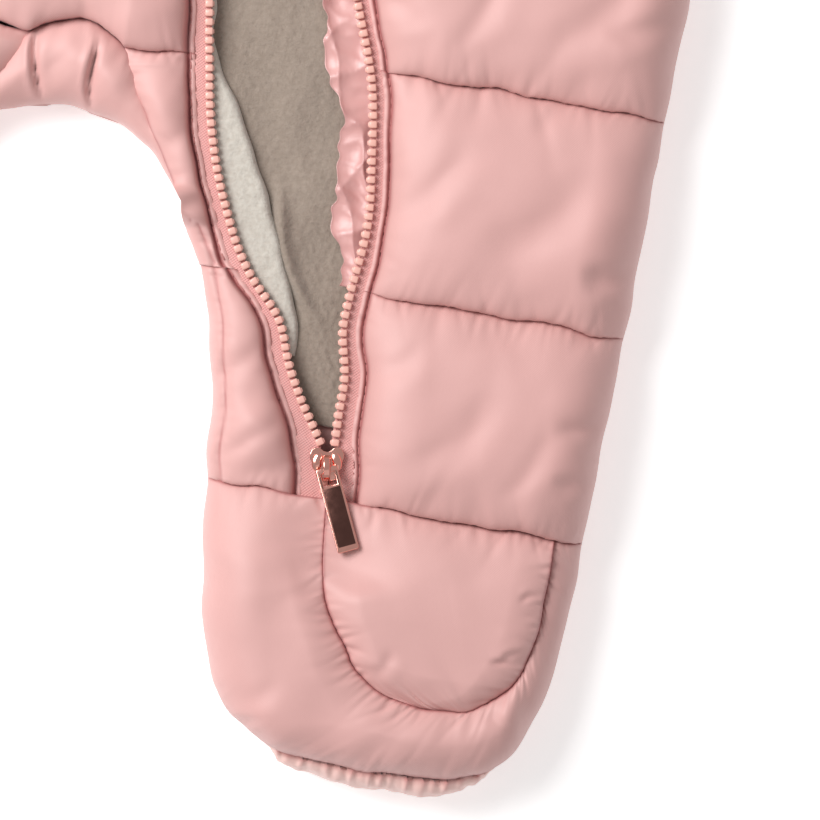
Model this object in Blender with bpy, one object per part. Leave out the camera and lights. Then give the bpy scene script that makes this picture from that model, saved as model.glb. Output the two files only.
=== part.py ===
"""Padded, footed baby snowsuit, unzipped and lying flat on its back.

The suit lies on the plane z = 0 with its neck towards +Y and its front up. Every quilted wall is a closed
padded solid: the back walls rest on the plane, and the front walls lie on them at the height MID. A long
curved zip runs from the neck to the left ankle and is open down to its slider, so the suit's inside shows
between the two front edges. All design sizes below are in millimetres, measured from the crotch point, with
x towards the wearer's left and y towards the neck.
"""
import math

import bmesh
import bpy
import numpy as np
from mathutils import Matrix, Vector

MM = 0.001
GAP = 0.3

# ---------------------------------------------------------------- driving sizes
MIDDLE_Y = 135.84           # the crotch point lies this far below the middle of the whole length
WAIST_SEAM_Y = 33.0         # seam between torso and legs at the outer side
KNEE_QUILT_Y = -50.0        # quilt line across the legs
ANKLE_Y = -128.5            # seam between leg and foot
QUILT_STEP = 86.0           # spacing of the torso's quilt lines
ARMPIT = (178.0, 310.0)
SHOULDER = (150.0, 452.0)
NECK_POINT = (82.0, 467.0)
FRONT_NECK_Y = 412.0
BACK_NECK_Y = 455.0
COLLAR_HEIGHT = 38.0
TEETH_WIDTH = 3.4
SEAM_STRIP = 5.0            # the back wall shows this far beyond the inseam
SLEEVE_GAP = 0.8

# ---------------------------------------------------------------- heights
MID = 17.0                  # the back walls end here, and the front walls lie on them
EDGE = 9.5                  # wall thickness of a front wall along its seams
CROWN = 15.0                # how much a baffle rises above its seams
RIM = 2.4                   # wall thickness at the outer silhouette
GROOVE = 2.5                # how far the quilt lines draw the underside up
LINING_FOLD = 2.6           # height of the soft fold in the lining
LINING_TOP = MID + 3.0
FACING_LOW = LINING_TOP + GAP
TEETH_LOW = MID + 7.4
TEETH_TOP = MID + 11.2
TAPE_LOW = MID + 8.2
TAPE_TOP = MID + 9.6

# Outer silhouette of torso and leg: y, x
OUTER_SIDE = (
    (-128.5, 219.5), (-50.0, 221.5), (33.0, 222.5), (100.0, 223.0),
    (180.0, 211.0), (250.0, 193.0), (310.0, 178.0),
)

# Silhouette between the legs, left half: y, x
CROTCH_SIDE = (
    (0.0, 3.0), (-2.0, 17.0), (-9.0, 31.0), (-20.0, 42.0), (-33.0, 52.0), (-50.0, 59.5),
    (-68.0, 65.0), (-92.0, 71.0), (-128.5, 75.5),
)

# The two rows of teeth: y, inner row x, outer row x
ZIP_LINES = (
    (450.0, -40.5, 40.5), (412.0, -45.0, 45.0), (300.0, -41.0, 47.0), (250.0, -30.0, 51.0),
    (200.0, -10.0, 59.0), (150.0, 12.0, 70.0), (100.0, 32.0, 84.0), (57.0, 44.0, 100.6),
    (27.0, 49.4, 111.5), (0.0, 55.0, 116.2), (-25.0, 64.0, 119.0), (-52.0, 79.6, 117.0),
    (-64.0, 91.0, 116.6), (-82.0, 99.0, 120.3), (-108.0, 113.2, 120.9), (-116.0, 116.2, 122.4),
    (-129.0, 118.9, 124.1),
)

# Distance from the middle of a row of teeth to the wall's sewn edge: y, distance
TAPE_REACH = ((-129.0, 6.3), (-108.0, 6.4), (-90.0, 5.4), (-60.0, 4.6), (-20.0, 4.2), (450.0, 4.2))

# Free edge of the facing inside the outer zip edge: y, x
FACING_EDGE = (
    (405.0, 31.0), (300.0, 35.0), (200.0, 45.0), (100.0, 69.0), (55.0, 88.5), (35.0, 92.0),
    (11.0, 103.0), (-16.0, 104.0), (-38.0, 110.5), (-47.0, 113.5),
)

# Free edge of the inner front's lining beside the inner teeth: y, x
LINING_EDGE = (
    (24.0, 54.5), (13.0, 61.0), (-4.0, 70.0), (-21.0, 79.5), (-41.0, 88.0), (-58.0, 95.0), (-74.0, 99.5),
)

# Rows of the leg walls, from the ankle seam up; they meet the gusset seam's corners and the slider's ends
LEG_ROWS = (
    -128.2, -122.3, -115.8, -109.3, -101.0, -92.0, -78.0, -64.0, -50.0,
    -38.0, -27.5, -19.0, -9.5, -1.0, 8.0, 18.0, 32.7,
)

# Arched seam over the gusset, left half: x, y
ARCH = ((0.0, 32.0), (7.4, 31.0), (12.6, 29.0), (17.4, 25.8))

# Seam from the arch's end to the inner leg, left half: x, y
GUSSET_SEAM = (
    (17.4, 25.8), (22.5, 18.0), (28.0, 8.0), (33.0, -1.0),
    (38.0, -9.5), (44.0, -19.0), (49.0, -27.5),
)

# Lower edge of the gusset, left half: x, y
GUSSET_HEM = (
    (0.0, 0.0), (9.0, -0.6), (17.0, -2.4), (24.5, -5.2), (31.0, -9.4), (41.5, -19.6), (49.6, -29.6),
)

# U-shaped seam round the vamp, from the inner ankle round to the outer ankle: x, y
VAMP_SEAM = (
    (122.5, -129.0), (123.2, -144.0), (126.5, -160.0), (134.0, -176.0), (147.0, -192.5), (167.0, -199.0),
    (188.0, -196.5), (201.0, -186.0), (207.5, -168.0), (208.5, -148.0), (208.2, -129.0),
)

# Foot outline as far as the sole seam, same way round: x, y
FOOT_OUTLINE = (
    (75.5, -129.0), (79.0, -158.0), (85.5, -189.0), (96.0, -211.0), (114.0, -223.0), (135.0, -226.0),
    (165.0, -226.3), (188.0, -223.5), (204.0, -215.0), (213.5, -197.0), (218.5, -163.0), (219.5, -129.0),
)

# ---------------------------------------------------------------- sleeve
SLEEVE_DIRECTION = (0.53, -0.848)
SLEEVE_LENGTH = 190.0       # along the middle, from armhole to cuff
CUFF_WIDTH = 85.0
CUFF_LENGTH = 16.0
SLEEVE_BULGE = 9.0

# ---------------------------------------------------------------- slider and pull
SLIDER_AT = (119.5, -115.8)
SLIDER_TURN = math.radians(10.0)    # from -y towards +x
SLIDER_LENGTH = 12.6
SLIDER_WIDTH_OPEN = 12.9
SLIDER_WIDTH_CLOSED = 8.2
SLIDER_LOW = MID + 6.6
SLIDER_TOP = MID + 12.0
BAIL_WIDTH = 2.4
BAIL_WIRE = 1.0
EYE_LENGTH = 7.6
BAIL_SHIFT = 1.4            # the bail sits this far below the slider's middle
PIVOT_SHIFT = 2.2           # and the pull turns this far below it
EYE_HEIGHT = 3.6
PULL_TURN = math.radians(25.3)      # from -y towards +x
PULL_RISE = math.radians(8.5)       # the pull lies on the foot, its free end a little raised
PULL_LENGTH = 32.6
PULL_WIDTH = 8.2
PULL_THICK = 2.0
PULL_BEYOND_PIVOT = 1.0
WINDOW_WIDTH = 5.2
WINDOW_NEAR = 0.95
WINDOW_FAR = 6.1
PIVOT_HEIGHT = SLIDER_TOP + 0.5 * EYE_HEIGHT

# ---------------------------------------------------------------- colours
SHELL = ("shell_pink", (0.73, 0.44, 0.41), 0.38, 0.0)
FLEECE = ("fleece_cream", (0.60, 0.52, 0.46), 0.95, 0.0)
FACING = ("facing_pink", (0.62, 0.31, 0.30), 0.30, 0.0)
TAPE = ("zip_tape_pink", (0.69, 0.34, 0.32), 0.80, 0.0)
TEETH = ("zip_teeth_coral", (0.80, 0.38, 0.33), 0.40, 0.0)
ROSE_METAL = ("rose_metal", (0.72, 0.36, 0.30), 0.18, 1.0)
DARK_METAL = ("pull_metal", (0.12, 0.05, 0.045), 0.15, 1.0)


def clear_scene():
    """Remove every object that the scene holds."""
    for thing in list(bpy.data.objects):
        bpy.data.objects.remove(thing, do_unlink=True)


def own_material(name, finish):
    """Return a Principled material of the piece's own, with the finish's values."""
    finish_name, colour, roughness, metallic = finish
    material = bpy.data.materials.new(name + "_" + finish_name)
    material.use_nodes = True
    shader = material.node_tree.nodes["Principled BSDF"]
    shader.inputs["Base Color"].default_value = (*colour, 1.0)
    shader.inputs["Roughness"].default_value = roughness
    shader.inputs["Metallic"].default_value = metallic
    return material


def place(x, y, z):
    """Turn a design point in millimetres into the part's frame in metres."""
    return Vector((x * MM, (y - MIDDLE_Y) * MM, z * MM))


def smooth_at(table, key, column=1):
    """Read a column of a table at a key, along a smooth curve through the rows."""
    rows = sorted(table)
    keys = np.array([row[0] for row in rows])
    values = np.array([row[column] for row in rows])
    slopes = np.gradient(values, keys)
    at = min(max(key, keys[0]), keys[-1])
    i = min(int(np.searchsorted(keys, at, side="right")) - 1, len(keys) - 2)
    step = keys[i + 1] - keys[i]
    t = (at - keys[i]) / step
    rise = values[i + 1] - values[i]
    start = slopes[i] * step - rise
    end = rise - slopes[i + 1] * step
    return float(values[i] + rise * t + t * (1.0 - t) * ((1.0 - t) * start + t * end))


def resample(points, count):
    """Return count points, evenly spaced, on a smooth curve through a few points."""
    given = np.array(points, dtype=float)
    reach = np.concatenate(([0.0], np.cumsum(np.linalg.norm(np.diff(given, axis=0), axis=1))))
    x_table = [(s, p[0]) for s, p in zip(reach, given)]
    y_table = [(s, p[1]) for s, p in zip(reach, given)]
    fine = np.linspace(0.0, reach[-1], 40 * len(points))
    curve = np.array([(smooth_at(x_table, s), smooth_at(y_table, s)) for s in fine])
    length = np.concatenate(([0.0], np.cumsum(np.linalg.norm(np.diff(curve, axis=0), axis=1))))
    wanted = np.linspace(0.0, length[-1], count)
    xs, ys = (np.interp(wanted, length, curve[:, axis]) for axis in (0, 1))
    return [(float(x), float(y)) for x, y in zip(xs, ys)]


def link_object(name, bm, finish, sharp_degrees=40.0):
    """Turn a bmesh into a named object with its own material."""
    bmesh.ops.recalc_face_normals(bm, faces=bm.faces)
    mesh = bpy.data.meshes.new(name)
    bm.to_mesh(mesh)
    bm.free()
    mesh.shade_smooth()
    mesh.set_sharp_from_angle(angle=math.radians(sharp_degrees))
    piece = bpy.data.objects.new(name, mesh)
    piece.data.materials.append(own_material(name, finish))
    bpy.context.scene.collection.objects.link(piece)
    return piece


def pad(name, grid, low, high, finish=SHELL):
    """Build a closed wall over a grid of plan points.

    grid holds rows of (x, y); low and high hold the heights of the wall's two faces at each of them.
    """
    rows, columns = len(grid), len(grid[0])
    bm = bmesh.new()
    top = [[bm.verts.new(place(*grid[r][c], high[r][c])) for c in range(columns)] for r in range(rows)]
    under = [[bm.verts.new(place(*grid[r][c], low[r][c])) for c in range(columns)] for r in range(rows)]
    for r in range(rows - 1):
        for c in range(columns - 1):
            bm.faces.new((top[r][c], top[r][c + 1], top[r + 1][c + 1], top[r + 1][c]))
            bm.faces.new((under[r][c], under[r + 1][c], under[r + 1][c + 1], under[r][c + 1]))
    rim = [(0, c) for c in range(columns)] + [(r, columns - 1) for r in range(1, rows)]
    rim += [(rows - 1, c) for c in range(columns - 2, -1, -1)] + [(r, 0) for r in range(rows - 2, 0, -1)]
    for here, there in zip(rim, rim[1:] + rim[:1]):
        a, b = top[here[0]][here[1]], top[there[0]][there[1]]
        c, d = under[there[0]][there[1]], under[here[0]][here[1]]
        bm.faces.new((a, b, c, d))
    return link_object(name, bm, finish)


def flat(grid, height):
    """Return one height for every point of a grid."""
    return [[height] * len(row) for row in grid]


def mirrored(grid):
    """Return a grid for the wearer's right side."""
    return [[(-x, y) for x, y in row] for row in grid]


def inner_teeth(y):
    """Middle of the inner row of teeth."""
    return smooth_at(ZIP_LINES, y, 1)


def outer_teeth(y):
    """Middle of the outer row of teeth."""
    return smooth_at(ZIP_LINES, y, 2)


def tape_reach(y):
    """How far the sewn edge of a front wall lies from the middle of its teeth."""
    return float(np.interp(y, [row[0] for row in TAPE_REACH], [row[1] for row in TAPE_REACH]))


def inner_edge(y):
    """Sewn front edge of the inner front wall."""
    return inner_teeth(y) - tape_reach(y)


def outer_edge(y):
    """Sewn front edge of the outer front wall."""
    return outer_teeth(y) + tape_reach(y)


def outer_side(y):
    """Silhouette of torso and leg at the wearer's left."""
    return smooth_at(OUTER_SIDE, y)


def crotch_side(y):
    """Silhouette of the left leg's inner side, and the middle seam above the crotch."""
    return 0.5 * GAP if y > 0.0 else smooth_at(CROTCH_SIDE, y)


def armhole_side(y):
    """Side of the torso: the silhouette up to the armpit, then the armhole seam."""
    if y <= ARMPIT[1]:
        return outer_side(y)
    t = (y - ARMPIT[1]) / (SHOULDER[1] - ARMPIT[1])
    return ARMPIT[0] + t * (SHOULDER[0] - ARMPIT[0])


def waist_y(x):
    """Seam between torso and legs, lower towards the crotch."""
    near, far = 19.0, 105.0
    t = min(max((abs(x) - near) / (far - near), 0.0), 1.0)
    return 25.0 + t * 8.0


def arch_y(x):
    """Lower edge of the front torso: the arch over the gusset, then the leg seam."""
    if abs(x) < ARCH[-1][0] + GAP:
        return smooth_at(ARCH, abs(x))
    return waist_y(x)


def neck_y(x, centre_y):
    """Upper edge of a torso wall: neckline between the neck points, then the shoulder."""
    x = abs(x)
    if x >= NECK_POINT[0]:
        t = (x - NECK_POINT[0]) / (SHOULDER[0] - NECK_POINT[0])
        return NECK_POINT[1] + t * (SHOULDER[1] - NECK_POINT[1])
    t = x / NECK_POINT[0]
    return centre_y + (NECK_POINT[1] - centre_y) * t ** 3


def baffle_rows(stations, inner=(0.14, 0.5, 0.86)):
    """Rows across a run of baffles, as (y, position in the baffle from 0 to 1)."""
    rows = [(stations[0], 0.0)]
    for start, end in zip(stations, stations[1:]):
        rows += [(start + t * (end - start), t) for t in inner]
        rows.append((end, 1.0))
    return rows


def puff(t):
    """Height of a baffle between two quilt lines, from 0 at a line to 1 in the middle."""
    return (4.0 * t * (1.0 - t)) ** 0.5 if 0.0 < t < 1.0 else 0.0


def torso_stations():
    """Quilt lines of the torso, from the leg seam to the shoulder."""
    return [WAIST_SEAM_Y + k * QUILT_STEP for k in range(5)] + [SHOULDER[1]]


def torso_grid(left, right, shares, centre_y, lower):
    """Plan points of a torso wall between two side curves.

    shares are the columns' places between the sides; lower gives the lower edge and centre_y the depth of
    the neckline.
    """
    stations = torso_stations()
    grid, places = [], []
    for y, t in baffle_rows(stations):
        a, b = left(y), right(y)
        fade_low = max(0.0, 1.0 - (y - stations[0]) / QUILT_STEP)
        fade_high = max(0.0, (y - stations[-2]) / (stations[-1] - stations[-2]))
        row = []
        for share in shares:
            x = a + share * (b - a)
            rise_low = lower(x) - stations[0]
            rise_high = neck_y(x, centre_y) - stations[-1]
            row.append((x, y + fade_low * rise_low + fade_high * rise_high))
        grid.append(row)
        places.append(t)
    return grid, places


def front_heights(places, base, crown, end_edge=EDGE):
    """Upper face of a front wall from each column's seam height and crown, both in millimetres."""
    high = [[MID + b + c * puff(t) for b, c in zip(base, crown)] for t in places]
    for row in (0, len(places) - 1):
        high[row] = [MID + min(b, end_edge) for b in base]
    return high


def back_heights(places, rims):
    """Under face of a back wall: on the surface, drawn up at the quilt lines and rounded at the rims."""
    return [[max(rim, GROOVE if t in (0.0, 1.0) else 0.0) for rim in rims] for t in places]


def shares_between(xs, a, b):
    """Places of given x values between the sides a and b."""
    return [(x - a) / (b - a) for x in xs]


def torso_side(y):
    """Side edge of a torso wall, held clear of the sleeve above the armpit."""
    return armhole_side(y) - (0.0 if y <= ARMPIT[1] else SLEEVE_GAP)


def build_torso():
    """Build the back torso and the two front torso walls, and return their plan grids by name."""
    neck_share = NECK_POINT[0] / torso_side(SHOULDER[1])
    inner = [0.5 - 0.5 * neck_share * k for k in (1.0, 0.6, 0.25)]
    shares = [0.0, 0.012, 0.05, 0.13] + inner + [0.5] + [1.0 - s for s in reversed(inner)]
    shares += [0.87, 0.95, 0.988, 1.0]
    back, places = torso_grid(
        lambda y: -torso_side(y), torso_side, shares, BACK_NECK_Y, lambda x: WAIST_SEAM_Y)
    rims = (13.5, 6.0) + (0.0,) * 11 + (6.0, 13.5)
    pad("back_torso", back, back_heights(places, rims), flat(back, MID))

    outer_x, side_x = outer_edge(SHOULDER[1]), torso_side(SHOULDER[1])
    neck_share = (NECK_POINT[0] - outer_x) / (side_x - outer_x)
    shares = (0.0, 0.06, 0.5 * neck_share, neck_share, 0.62, 0.88, 0.97, 1.0)
    left, places = torso_grid(outer_edge, torso_side, shares, FRONT_NECK_Y, waist_y)
    base = (EDGE, EDGE + 0.5, EDGE + 1.0, EDGE + 1.0, EDGE, EDGE - 1.0, 6.0, RIM)
    crown = (0.0, 3.0, 0.85 * CROWN, CROWN, 0.95 * CROWN, 0.7 * CROWN, 4.0, 0.0)
    pad("front_torso_left", left, flat(left, MID + GAP), front_heights(places, base, crown))

    neck_share = (side_x - NECK_POINT[0]) / (side_x + inner_edge(SHOULDER[1]))
    waist_x, waist_edge = torso_side(WAIST_SEAM_Y), inner_edge(WAIST_SEAM_Y)
    neck_x = -waist_x + neck_share * (waist_x + waist_edge)
    arch_xs = [x for x, _ in ARCH]
    xs = [-222.5, -219.0, -207.0, -176.0, -116.0, neck_x] + [-x for x in reversed(arch_xs[1:])] + arch_xs
    xs += [waist_edge - 8.0, waist_edge]
    shares = shares_between(xs, -waist_x, waist_edge)
    right, places = torso_grid(lambda y: -torso_side(y), inner_edge, shares, FRONT_NECK_Y, arch_y)
    base = (RIM, 6.0, EDGE - 1.0, EDGE) + (EDGE + 1.0,) * 9 + (EDGE + 0.5, EDGE)
    crown = (0.0, 4.0, 0.7 * CROWN, 0.95 * CROWN) + (CROWN,) * 6
    crown += (0.9 * CROWN,) * 2 + (0.8 * CROWN, 3.0, 0.0)
    pad("front_torso_right", right, flat(right, MID + GAP), front_heights(places, base, crown))
    return {"back": back, "left": left, "right": right}


def leg_grid(left, right, shares):
    """Plan points of a leg wall between two side curves, and each row's place in its baffle."""
    grid, places = [], []
    for y in LEG_ROWS:
        a, b = left(y), right(y)
        low, high = (LEG_ROWS[0], KNEE_QUILT_Y) if y < KNEE_QUILT_Y else (KNEE_QUILT_Y, LEG_ROWS[-1])
        fade = max(0.0, (y - LEG_ROWS[-2]) / (LEG_ROWS[-1] - LEG_ROWS[-2]))
        row = []
        for share in shares:
            x = a + share * (b - a)
            row.append((x, y + fade * (waist_y(x) - WAIST_SEAM_Y)))
        grid.append(row)
        places.append((y - low) / (high - low))
    return grid, places


def inner_leg_seam(y):
    """Inner edge of the leg's front: the gusset seam above, then the inseam."""
    tip_x, tip_y = GUSSET_SEAM[-1]
    if y >= tip_y:
        return smooth_at([(b, a) for a, b in GUSSET_SEAM], y) + 1.5 * GAP
    start = tip_x + 1.5 * GAP
    below = min((tip_y - y) / 20.0, 1.0)
    return start + (crotch_side(y) + SEAM_STRIP - start) * below


def build_front_legs(torso_right):
    """Build the two walls of the left leg's front and the right leg's front; return the left ones' grids."""
    shares = (0.0, 0.04, 0.22, 0.5, 0.78, 0.92, 0.98, 1.0)
    outer, places = leg_grid(outer_edge, outer_side, shares)
    base = (EDGE, EDGE + 0.5, EDGE + 1.0, EDGE + 1.0, EDGE, EDGE - 1.0, 6.0, RIM)
    crown = (0.0, 2.5, 0.85 * CROWN, CROWN, 0.95 * CROWN, 0.7 * CROWN, 4.0, 0.0)
    pad("front_leg_left_outer", outer, flat(outer, MID + GAP), front_heights(places, base, crown))

    shares = (0.0, 0.07, 0.35, 0.65, 0.93, 1.0)
    inner, places = leg_grid(inner_leg_seam, inner_edge, shares)
    base = (7.0, EDGE - 0.5, EDGE + 0.5, EDGE + 1.0, EDGE + 0.5, EDGE)
    crown = (1.0, 4.0, 0.7 * CROWN, 0.7 * CROWN, 3.0, 0.0)
    pad("front_leg_left_inner", inner, flat(inner, MID + GAP), front_heights(places, base, crown))

    xs = [-x for x, _ in reversed(torso_right[0]) if x < -ARCH[-1][0] - 5.0]
    shares = [0.0, 0.03] + shares_between(xs, inner_leg_seam(LEG_ROWS[-1]), outer_side(LEG_ROWS[-1]))
    right, places = leg_grid(inner_leg_seam, outer_side, shares)
    base = (7.0, EDGE - 0.5, EDGE + 1.0, EDGE + 1.0, EDGE, EDGE - 1.0, 6.0, RIM)
    crown = (1.0, 4.0, 0.9 * CROWN, CROWN, 0.95 * CROWN, 0.7 * CROWN, 4.0, 0.0)
    pad("front_leg_right", mirrored(right), flat(right, MID + GAP), front_heights(places, base, crown))
    return {"outer": outer, "inner": inner}


def build_gusset():
    """Crotch gusset, lying between the arch, the two leg seams and the crotch edge."""
    upper_half = list(ARCH) + list(GUSSET_SEAM[1:])
    upper = [(-x, y) for x, y in reversed(upper_half[1:])] + upper_half
    lower_half = resample(GUSSET_HEM, len(upper_half))
    lower = [(-x, y) for x, y in reversed(lower_half[1:])] + lower_half
    shares = (0.0, 0.25, 0.65, 0.92, 1.0)
    heights = (MID + RIM, MID + 10.0, MID + 17.0, MID + 12.0, MID + EDGE)
    grid, high = [], []
    for share, height in zip(shares, heights):
        row = []
        for (xu, yu), (xl, yl) in zip(upper, lower):
            drop = 1.5 * GAP if share == 1.0 else 0.0
            row.append((xl + share * (xu - xl), yl + share * (yu - yl) - drop))
        grid.append(row)
        narrow = [min(1.0, math.dist(a, b) / 22.0) for a, b in zip(upper, lower)]
        high.append([MID + RIM + (height - MID - RIM) * (0.45 + 0.55 * n) for n in narrow])
    pad("crotch_gusset", grid, flat(grid, MID + GAP), high)


def build_back_legs():
    """Back walls of both legs, joined at the middle seam above the crotch."""
    ys = (WAIST_SEAM_Y - GAP, 22.0, 10.0, 0.6, -2.0, -9.0, -20.0, -33.0, KNEE_QUILT_Y, -62.0, -90.0, -116.0,
          ANKLE_Y + GAP)
    quilted = (ys[0], KNEE_QUILT_Y, ys[-1])
    shares = (0.0, 0.02, 0.08, 0.3, 0.65, 0.92, 0.98, 1.0)
    rims_middle = (0.0, 0.0, 0.0, 0.0, 0.0, 0.0, 6.0, 13.5)
    rims_leg = (12.0, 5.0, 0.0, 0.0, 0.0, 0.0, 6.0, 13.5)
    grid, low = [], []
    for y in ys:
        a, b = crotch_side(y), outer_side(y)
        rims = rims_middle if y > 0.0 else rims_leg
        grid.append([(a + share * (b - a), y) for share in shares])
        low.append([max(rim, 2.5 if y in quilted else 0.0) for rim in rims])
    pad("back_leg_left", grid, low, flat(grid, MID))
    pad("back_leg_right", mirrored(grid), low, flat(grid, MID))


def build_feet():
    """Bootie of each foot: back, wrap, vamp and sole strip."""
    count = 16
    seam = resample(VAMP_SEAM, count)
    outline = resample(FOOT_OUTLINE, count)
    half = count // 2

    # back: rows from one side of the outline to the other
    shares = (0.0, 0.03, 0.12, 0.5, 0.88, 0.97, 1.0)
    rows = [(outline[i], outline[count - 1 - i]) for i in range(half)]
    back = [[lerp2(a, b, s) for s in shares] for a, b in rows]
    rims = (12.0, 5.0, 0.0, 0.0, 0.0, 5.0, 12.0)
    low = [[2.5 if i == 0 and rim < 2.5 else rim for rim in rims] for i in range(half)]
    low[-1] = [max(rim, 3.0) for rim in rims]

    # wrap: from the vamp seam out to the outline
    shares_out = (0.0, 0.12, 0.42, 0.75, 0.93, 1.0)
    heights = (EDGE, 15.5, 23.0, 18.0, 10.0, RIM)
    middle = lerp2(seam[0], seam[-1], 0.5)
    wrap, wrap_high = [], []
    for share, height in zip(shares_out, heights):
        wrap.append([lerp2(away(s, middle, GAP), o, share) for s, o in zip(seam, outline)])
        ends = [0.55 if i in (0, count - 1) else 1.0 for i in range(count)]
        wrap_high.append([MID + RIM + (height - RIM) * e for e in ends])

    # vamp: rows between the two sides of its seam
    shares_in = (0.0, 0.08, 0.3, 0.7, 0.92, 1.0)
    profile = (0.0, 0.45, 0.9, 0.9, 0.45, 0.0)
    vamp, vamp_high = [], []
    for i in range(half):
        rise = CROWN * min(1.0, (i / 1.6) ** 0.7) * min(1.0, ((half - 1 - i) / 1.8) ** 0.7)
        vamp.append([lerp2(seam[i], seam[count - 1 - i], s) for s in shares_in])
        vamp_high.append([MID + EDGE - 0.5 + rise * p for p in profile])

    # sole: a rolled strip along the lower part of the outline
    base_line = [p for p in resample(FOOT_OUTLINE, 41) if p[1] < -219.0]
    along = np.linspace(-1.0, 1.0, len(base_line))
    sole, sole_low, sole_high = [], [], []
    for share, low_z, high_z in ((0.0, 1.5, 31.0), (0.45, 0.0, 28.0), (0.85, 4.0, 20.0), (1.0, 9.0, 14.0)):
        swell = [max(0.12, 1.0 - abs(a) ** 3) for a in along]
        sole.append([(x, y - GAP - share * 6.3 * s) for (x, y), s in zip(base_line, swell)])
        sole_low.append([low_z + (10.0 - low_z) * (1.0 - s) for s in swell])
        sole_high.append([13.0 + (high_z - 13.0) * (0.45 + 0.55 * s) for s in swell])

    for side, turn in (("left", lambda grid: grid), ("right", mirrored)):
        pad("foot_back_" + side, turn(back), low, flat(back, MID))
        pad("foot_wrap_" + side, turn(wrap), flat(wrap, MID + GAP), wrap_high)
        pad("foot_vamp_" + side, turn(vamp), flat(vamp, MID + GAP), vamp_high)
        pad("foot_sole_" + side, turn(sole), sole_low, sole_high)


def lerp2(a, b, share):
    """Point on the line from a to b."""
    return (a[0] + share * (b[0] - a[0]), a[1] + share * (b[1] - a[1]))


def away(point, centre, distance):
    """Move a plan point away from a centre by a distance."""
    dx, dy = point[0] - centre[0], point[1] - centre[1]
    length = math.hypot(dx, dy)
    return (point[0] + dx / length * distance, point[1] + dy / length * distance)


def sleeve_edges():
    """Upper and lower edge of the left sleeve, as functions of the share of its length."""
    dx, dy = SLEEVE_DIRECTION
    nx, ny = -dy, dx
    armhole_mid = lerp2(ARMPIT, SHOULDER, 0.5)
    cuff_mid = (armhole_mid[0] + dx * SLEEVE_LENGTH, armhole_mid[1] + dy * SLEEVE_LENGTH)
    cuff_top = (cuff_mid[0] + nx * CUFF_WIDTH / 2, cuff_mid[1] + ny * CUFF_WIDTH / 2)
    cuff_low = (cuff_mid[0] - nx * CUFF_WIDTH / 2, cuff_mid[1] - ny * CUFF_WIDTH / 2)

    def upper(t):
        x, y = lerp2(SHOULDER, cuff_top, t)
        bulge = SLEEVE_BULGE * 4.0 * t * (1.0 - t)
        return (x + GAP + nx * bulge, y + ny * bulge)

    def lower(t):
        x, y = lerp2(ARMPIT, cuff_low, t)
        return (x + GAP, y)

    return upper, lower, (dx, dy)


def build_sleeves():
    """Two sleeves, each a back wall and a front wall, with a gathered cuff in two halves."""
    upper, lower, (dx, dy) = sleeve_edges()
    shares = (0.0, 0.03, 0.14, 0.4, 0.7, 0.9, 0.975, 1.0)
    stations = (0.0, 0.31, 0.65, 1.0)
    grid, places = [], []
    for t, place_in in baffle_rows(stations):
        grid.append([lerp2(lower(t), upper(t), s) for s in shares])
        places.append(place_in)
    base = (RIM, 6.0, EDGE - 1.0, EDGE, EDGE, EDGE - 1.0, 6.0, RIM)
    crown = (0.0, 4.0, 0.6 * CROWN, 0.95 * CROWN, 0.95 * CROWN, 0.6 * CROWN, 4.0, 0.0)
    high = front_heights(places, base, crown)
    low = back_heights(places, (13.5, 6.0, 0.0, 0.0, 0.0, 0.0, 6.0, 13.5))

    cuff_shares = (0.0, 0.05, 0.3, 0.7, 0.95, 1.0)
    inset = 0.04
    cuff = []
    for reach in (GAP, 3.0, CUFF_LENGTH - 2.0, CUFF_LENGTH):
        a, b = lerp2(lower(1.0), upper(1.0), inset), lerp2(lower(1.0), upper(1.0), 1.0 - inset)
        row = [lerp2(a, b, s) for s in cuff_shares]
        cuff.append([(x + dx * reach, y + dy * reach) for x, y in row])
    cuff_high = [[MID + h * k for h in (RIM, 5.0, 7.0, 7.0, 5.0, RIM)] for k in (1.0, 1.15, 1.0, 0.8)]
    cuff_low = [[z + extra for z in (13.0, 6.5, 4.0, 4.0, 6.5, 13.0)] for extra in (0.0, -1.0, 0.0, 0.5)]

    for side, turn in (("left", lambda rows: rows), ("right", mirrored)):
        pad("sleeve_back_" + side, turn(grid), low, flat(grid, MID))
        pad("sleeve_front_" + side, turn(grid), flat(grid, MID + GAP), high)
        pad("cuff_back_" + side, turn(cuff), cuff_low, flat(cuff, MID))
        pad("cuff_front_" + side, turn(cuff), flat(cuff, MID + GAP), cuff_high)


def build_collar(torso):
    """Build the stand collar, pressed flat, on the torso's own neckline points."""
    reach = (GAP, 4.0, 0.5 * COLLAR_HEIGHT, COLLAR_HEIGHT - 4.0, COLLAR_HEIGHT)
    limit = NECK_POINT[0] + 1.0
    neckline = [point for point in torso["back"][-1] if abs(point[0]) < limit]
    grid = [[(x * (1.0 - 0.05 * r / COLLAR_HEIGHT), y + r) for x, y in neckline] for r in reach]
    rims = (10.0,) + (0.0,) * (len(neckline) - 2) + (10.0,)
    low = [[max(rim, extra) for rim in rims] for extra in (3.0, 0.0, 0.0, 3.0, 10.0)]
    pad("collar_back", grid, low, flat(grid, MID))

    for side in ("left", "right"):
        neckline = sorted((p for p in torso[side][-1] if abs(p[0]) < limit), key=lambda p: abs(p[0]))
        grid = [[(x, y + r) for x, y in neckline] for r in reach]
        last = len(neckline) - 1
        along = [k / last for k in range(last + 1)]
        profile = [EDGE + 2.5 * math.sin(math.pi * t ** 0.6) - 4.5 * t ** 3 for t in along]
        high = [[MID + p * k for p in profile] for k in (0.95, 1.1, 1.15, 0.95, 0.5)]
        pad("collar_front_" + side, grid, flat(grid, MID + GAP), high)


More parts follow.
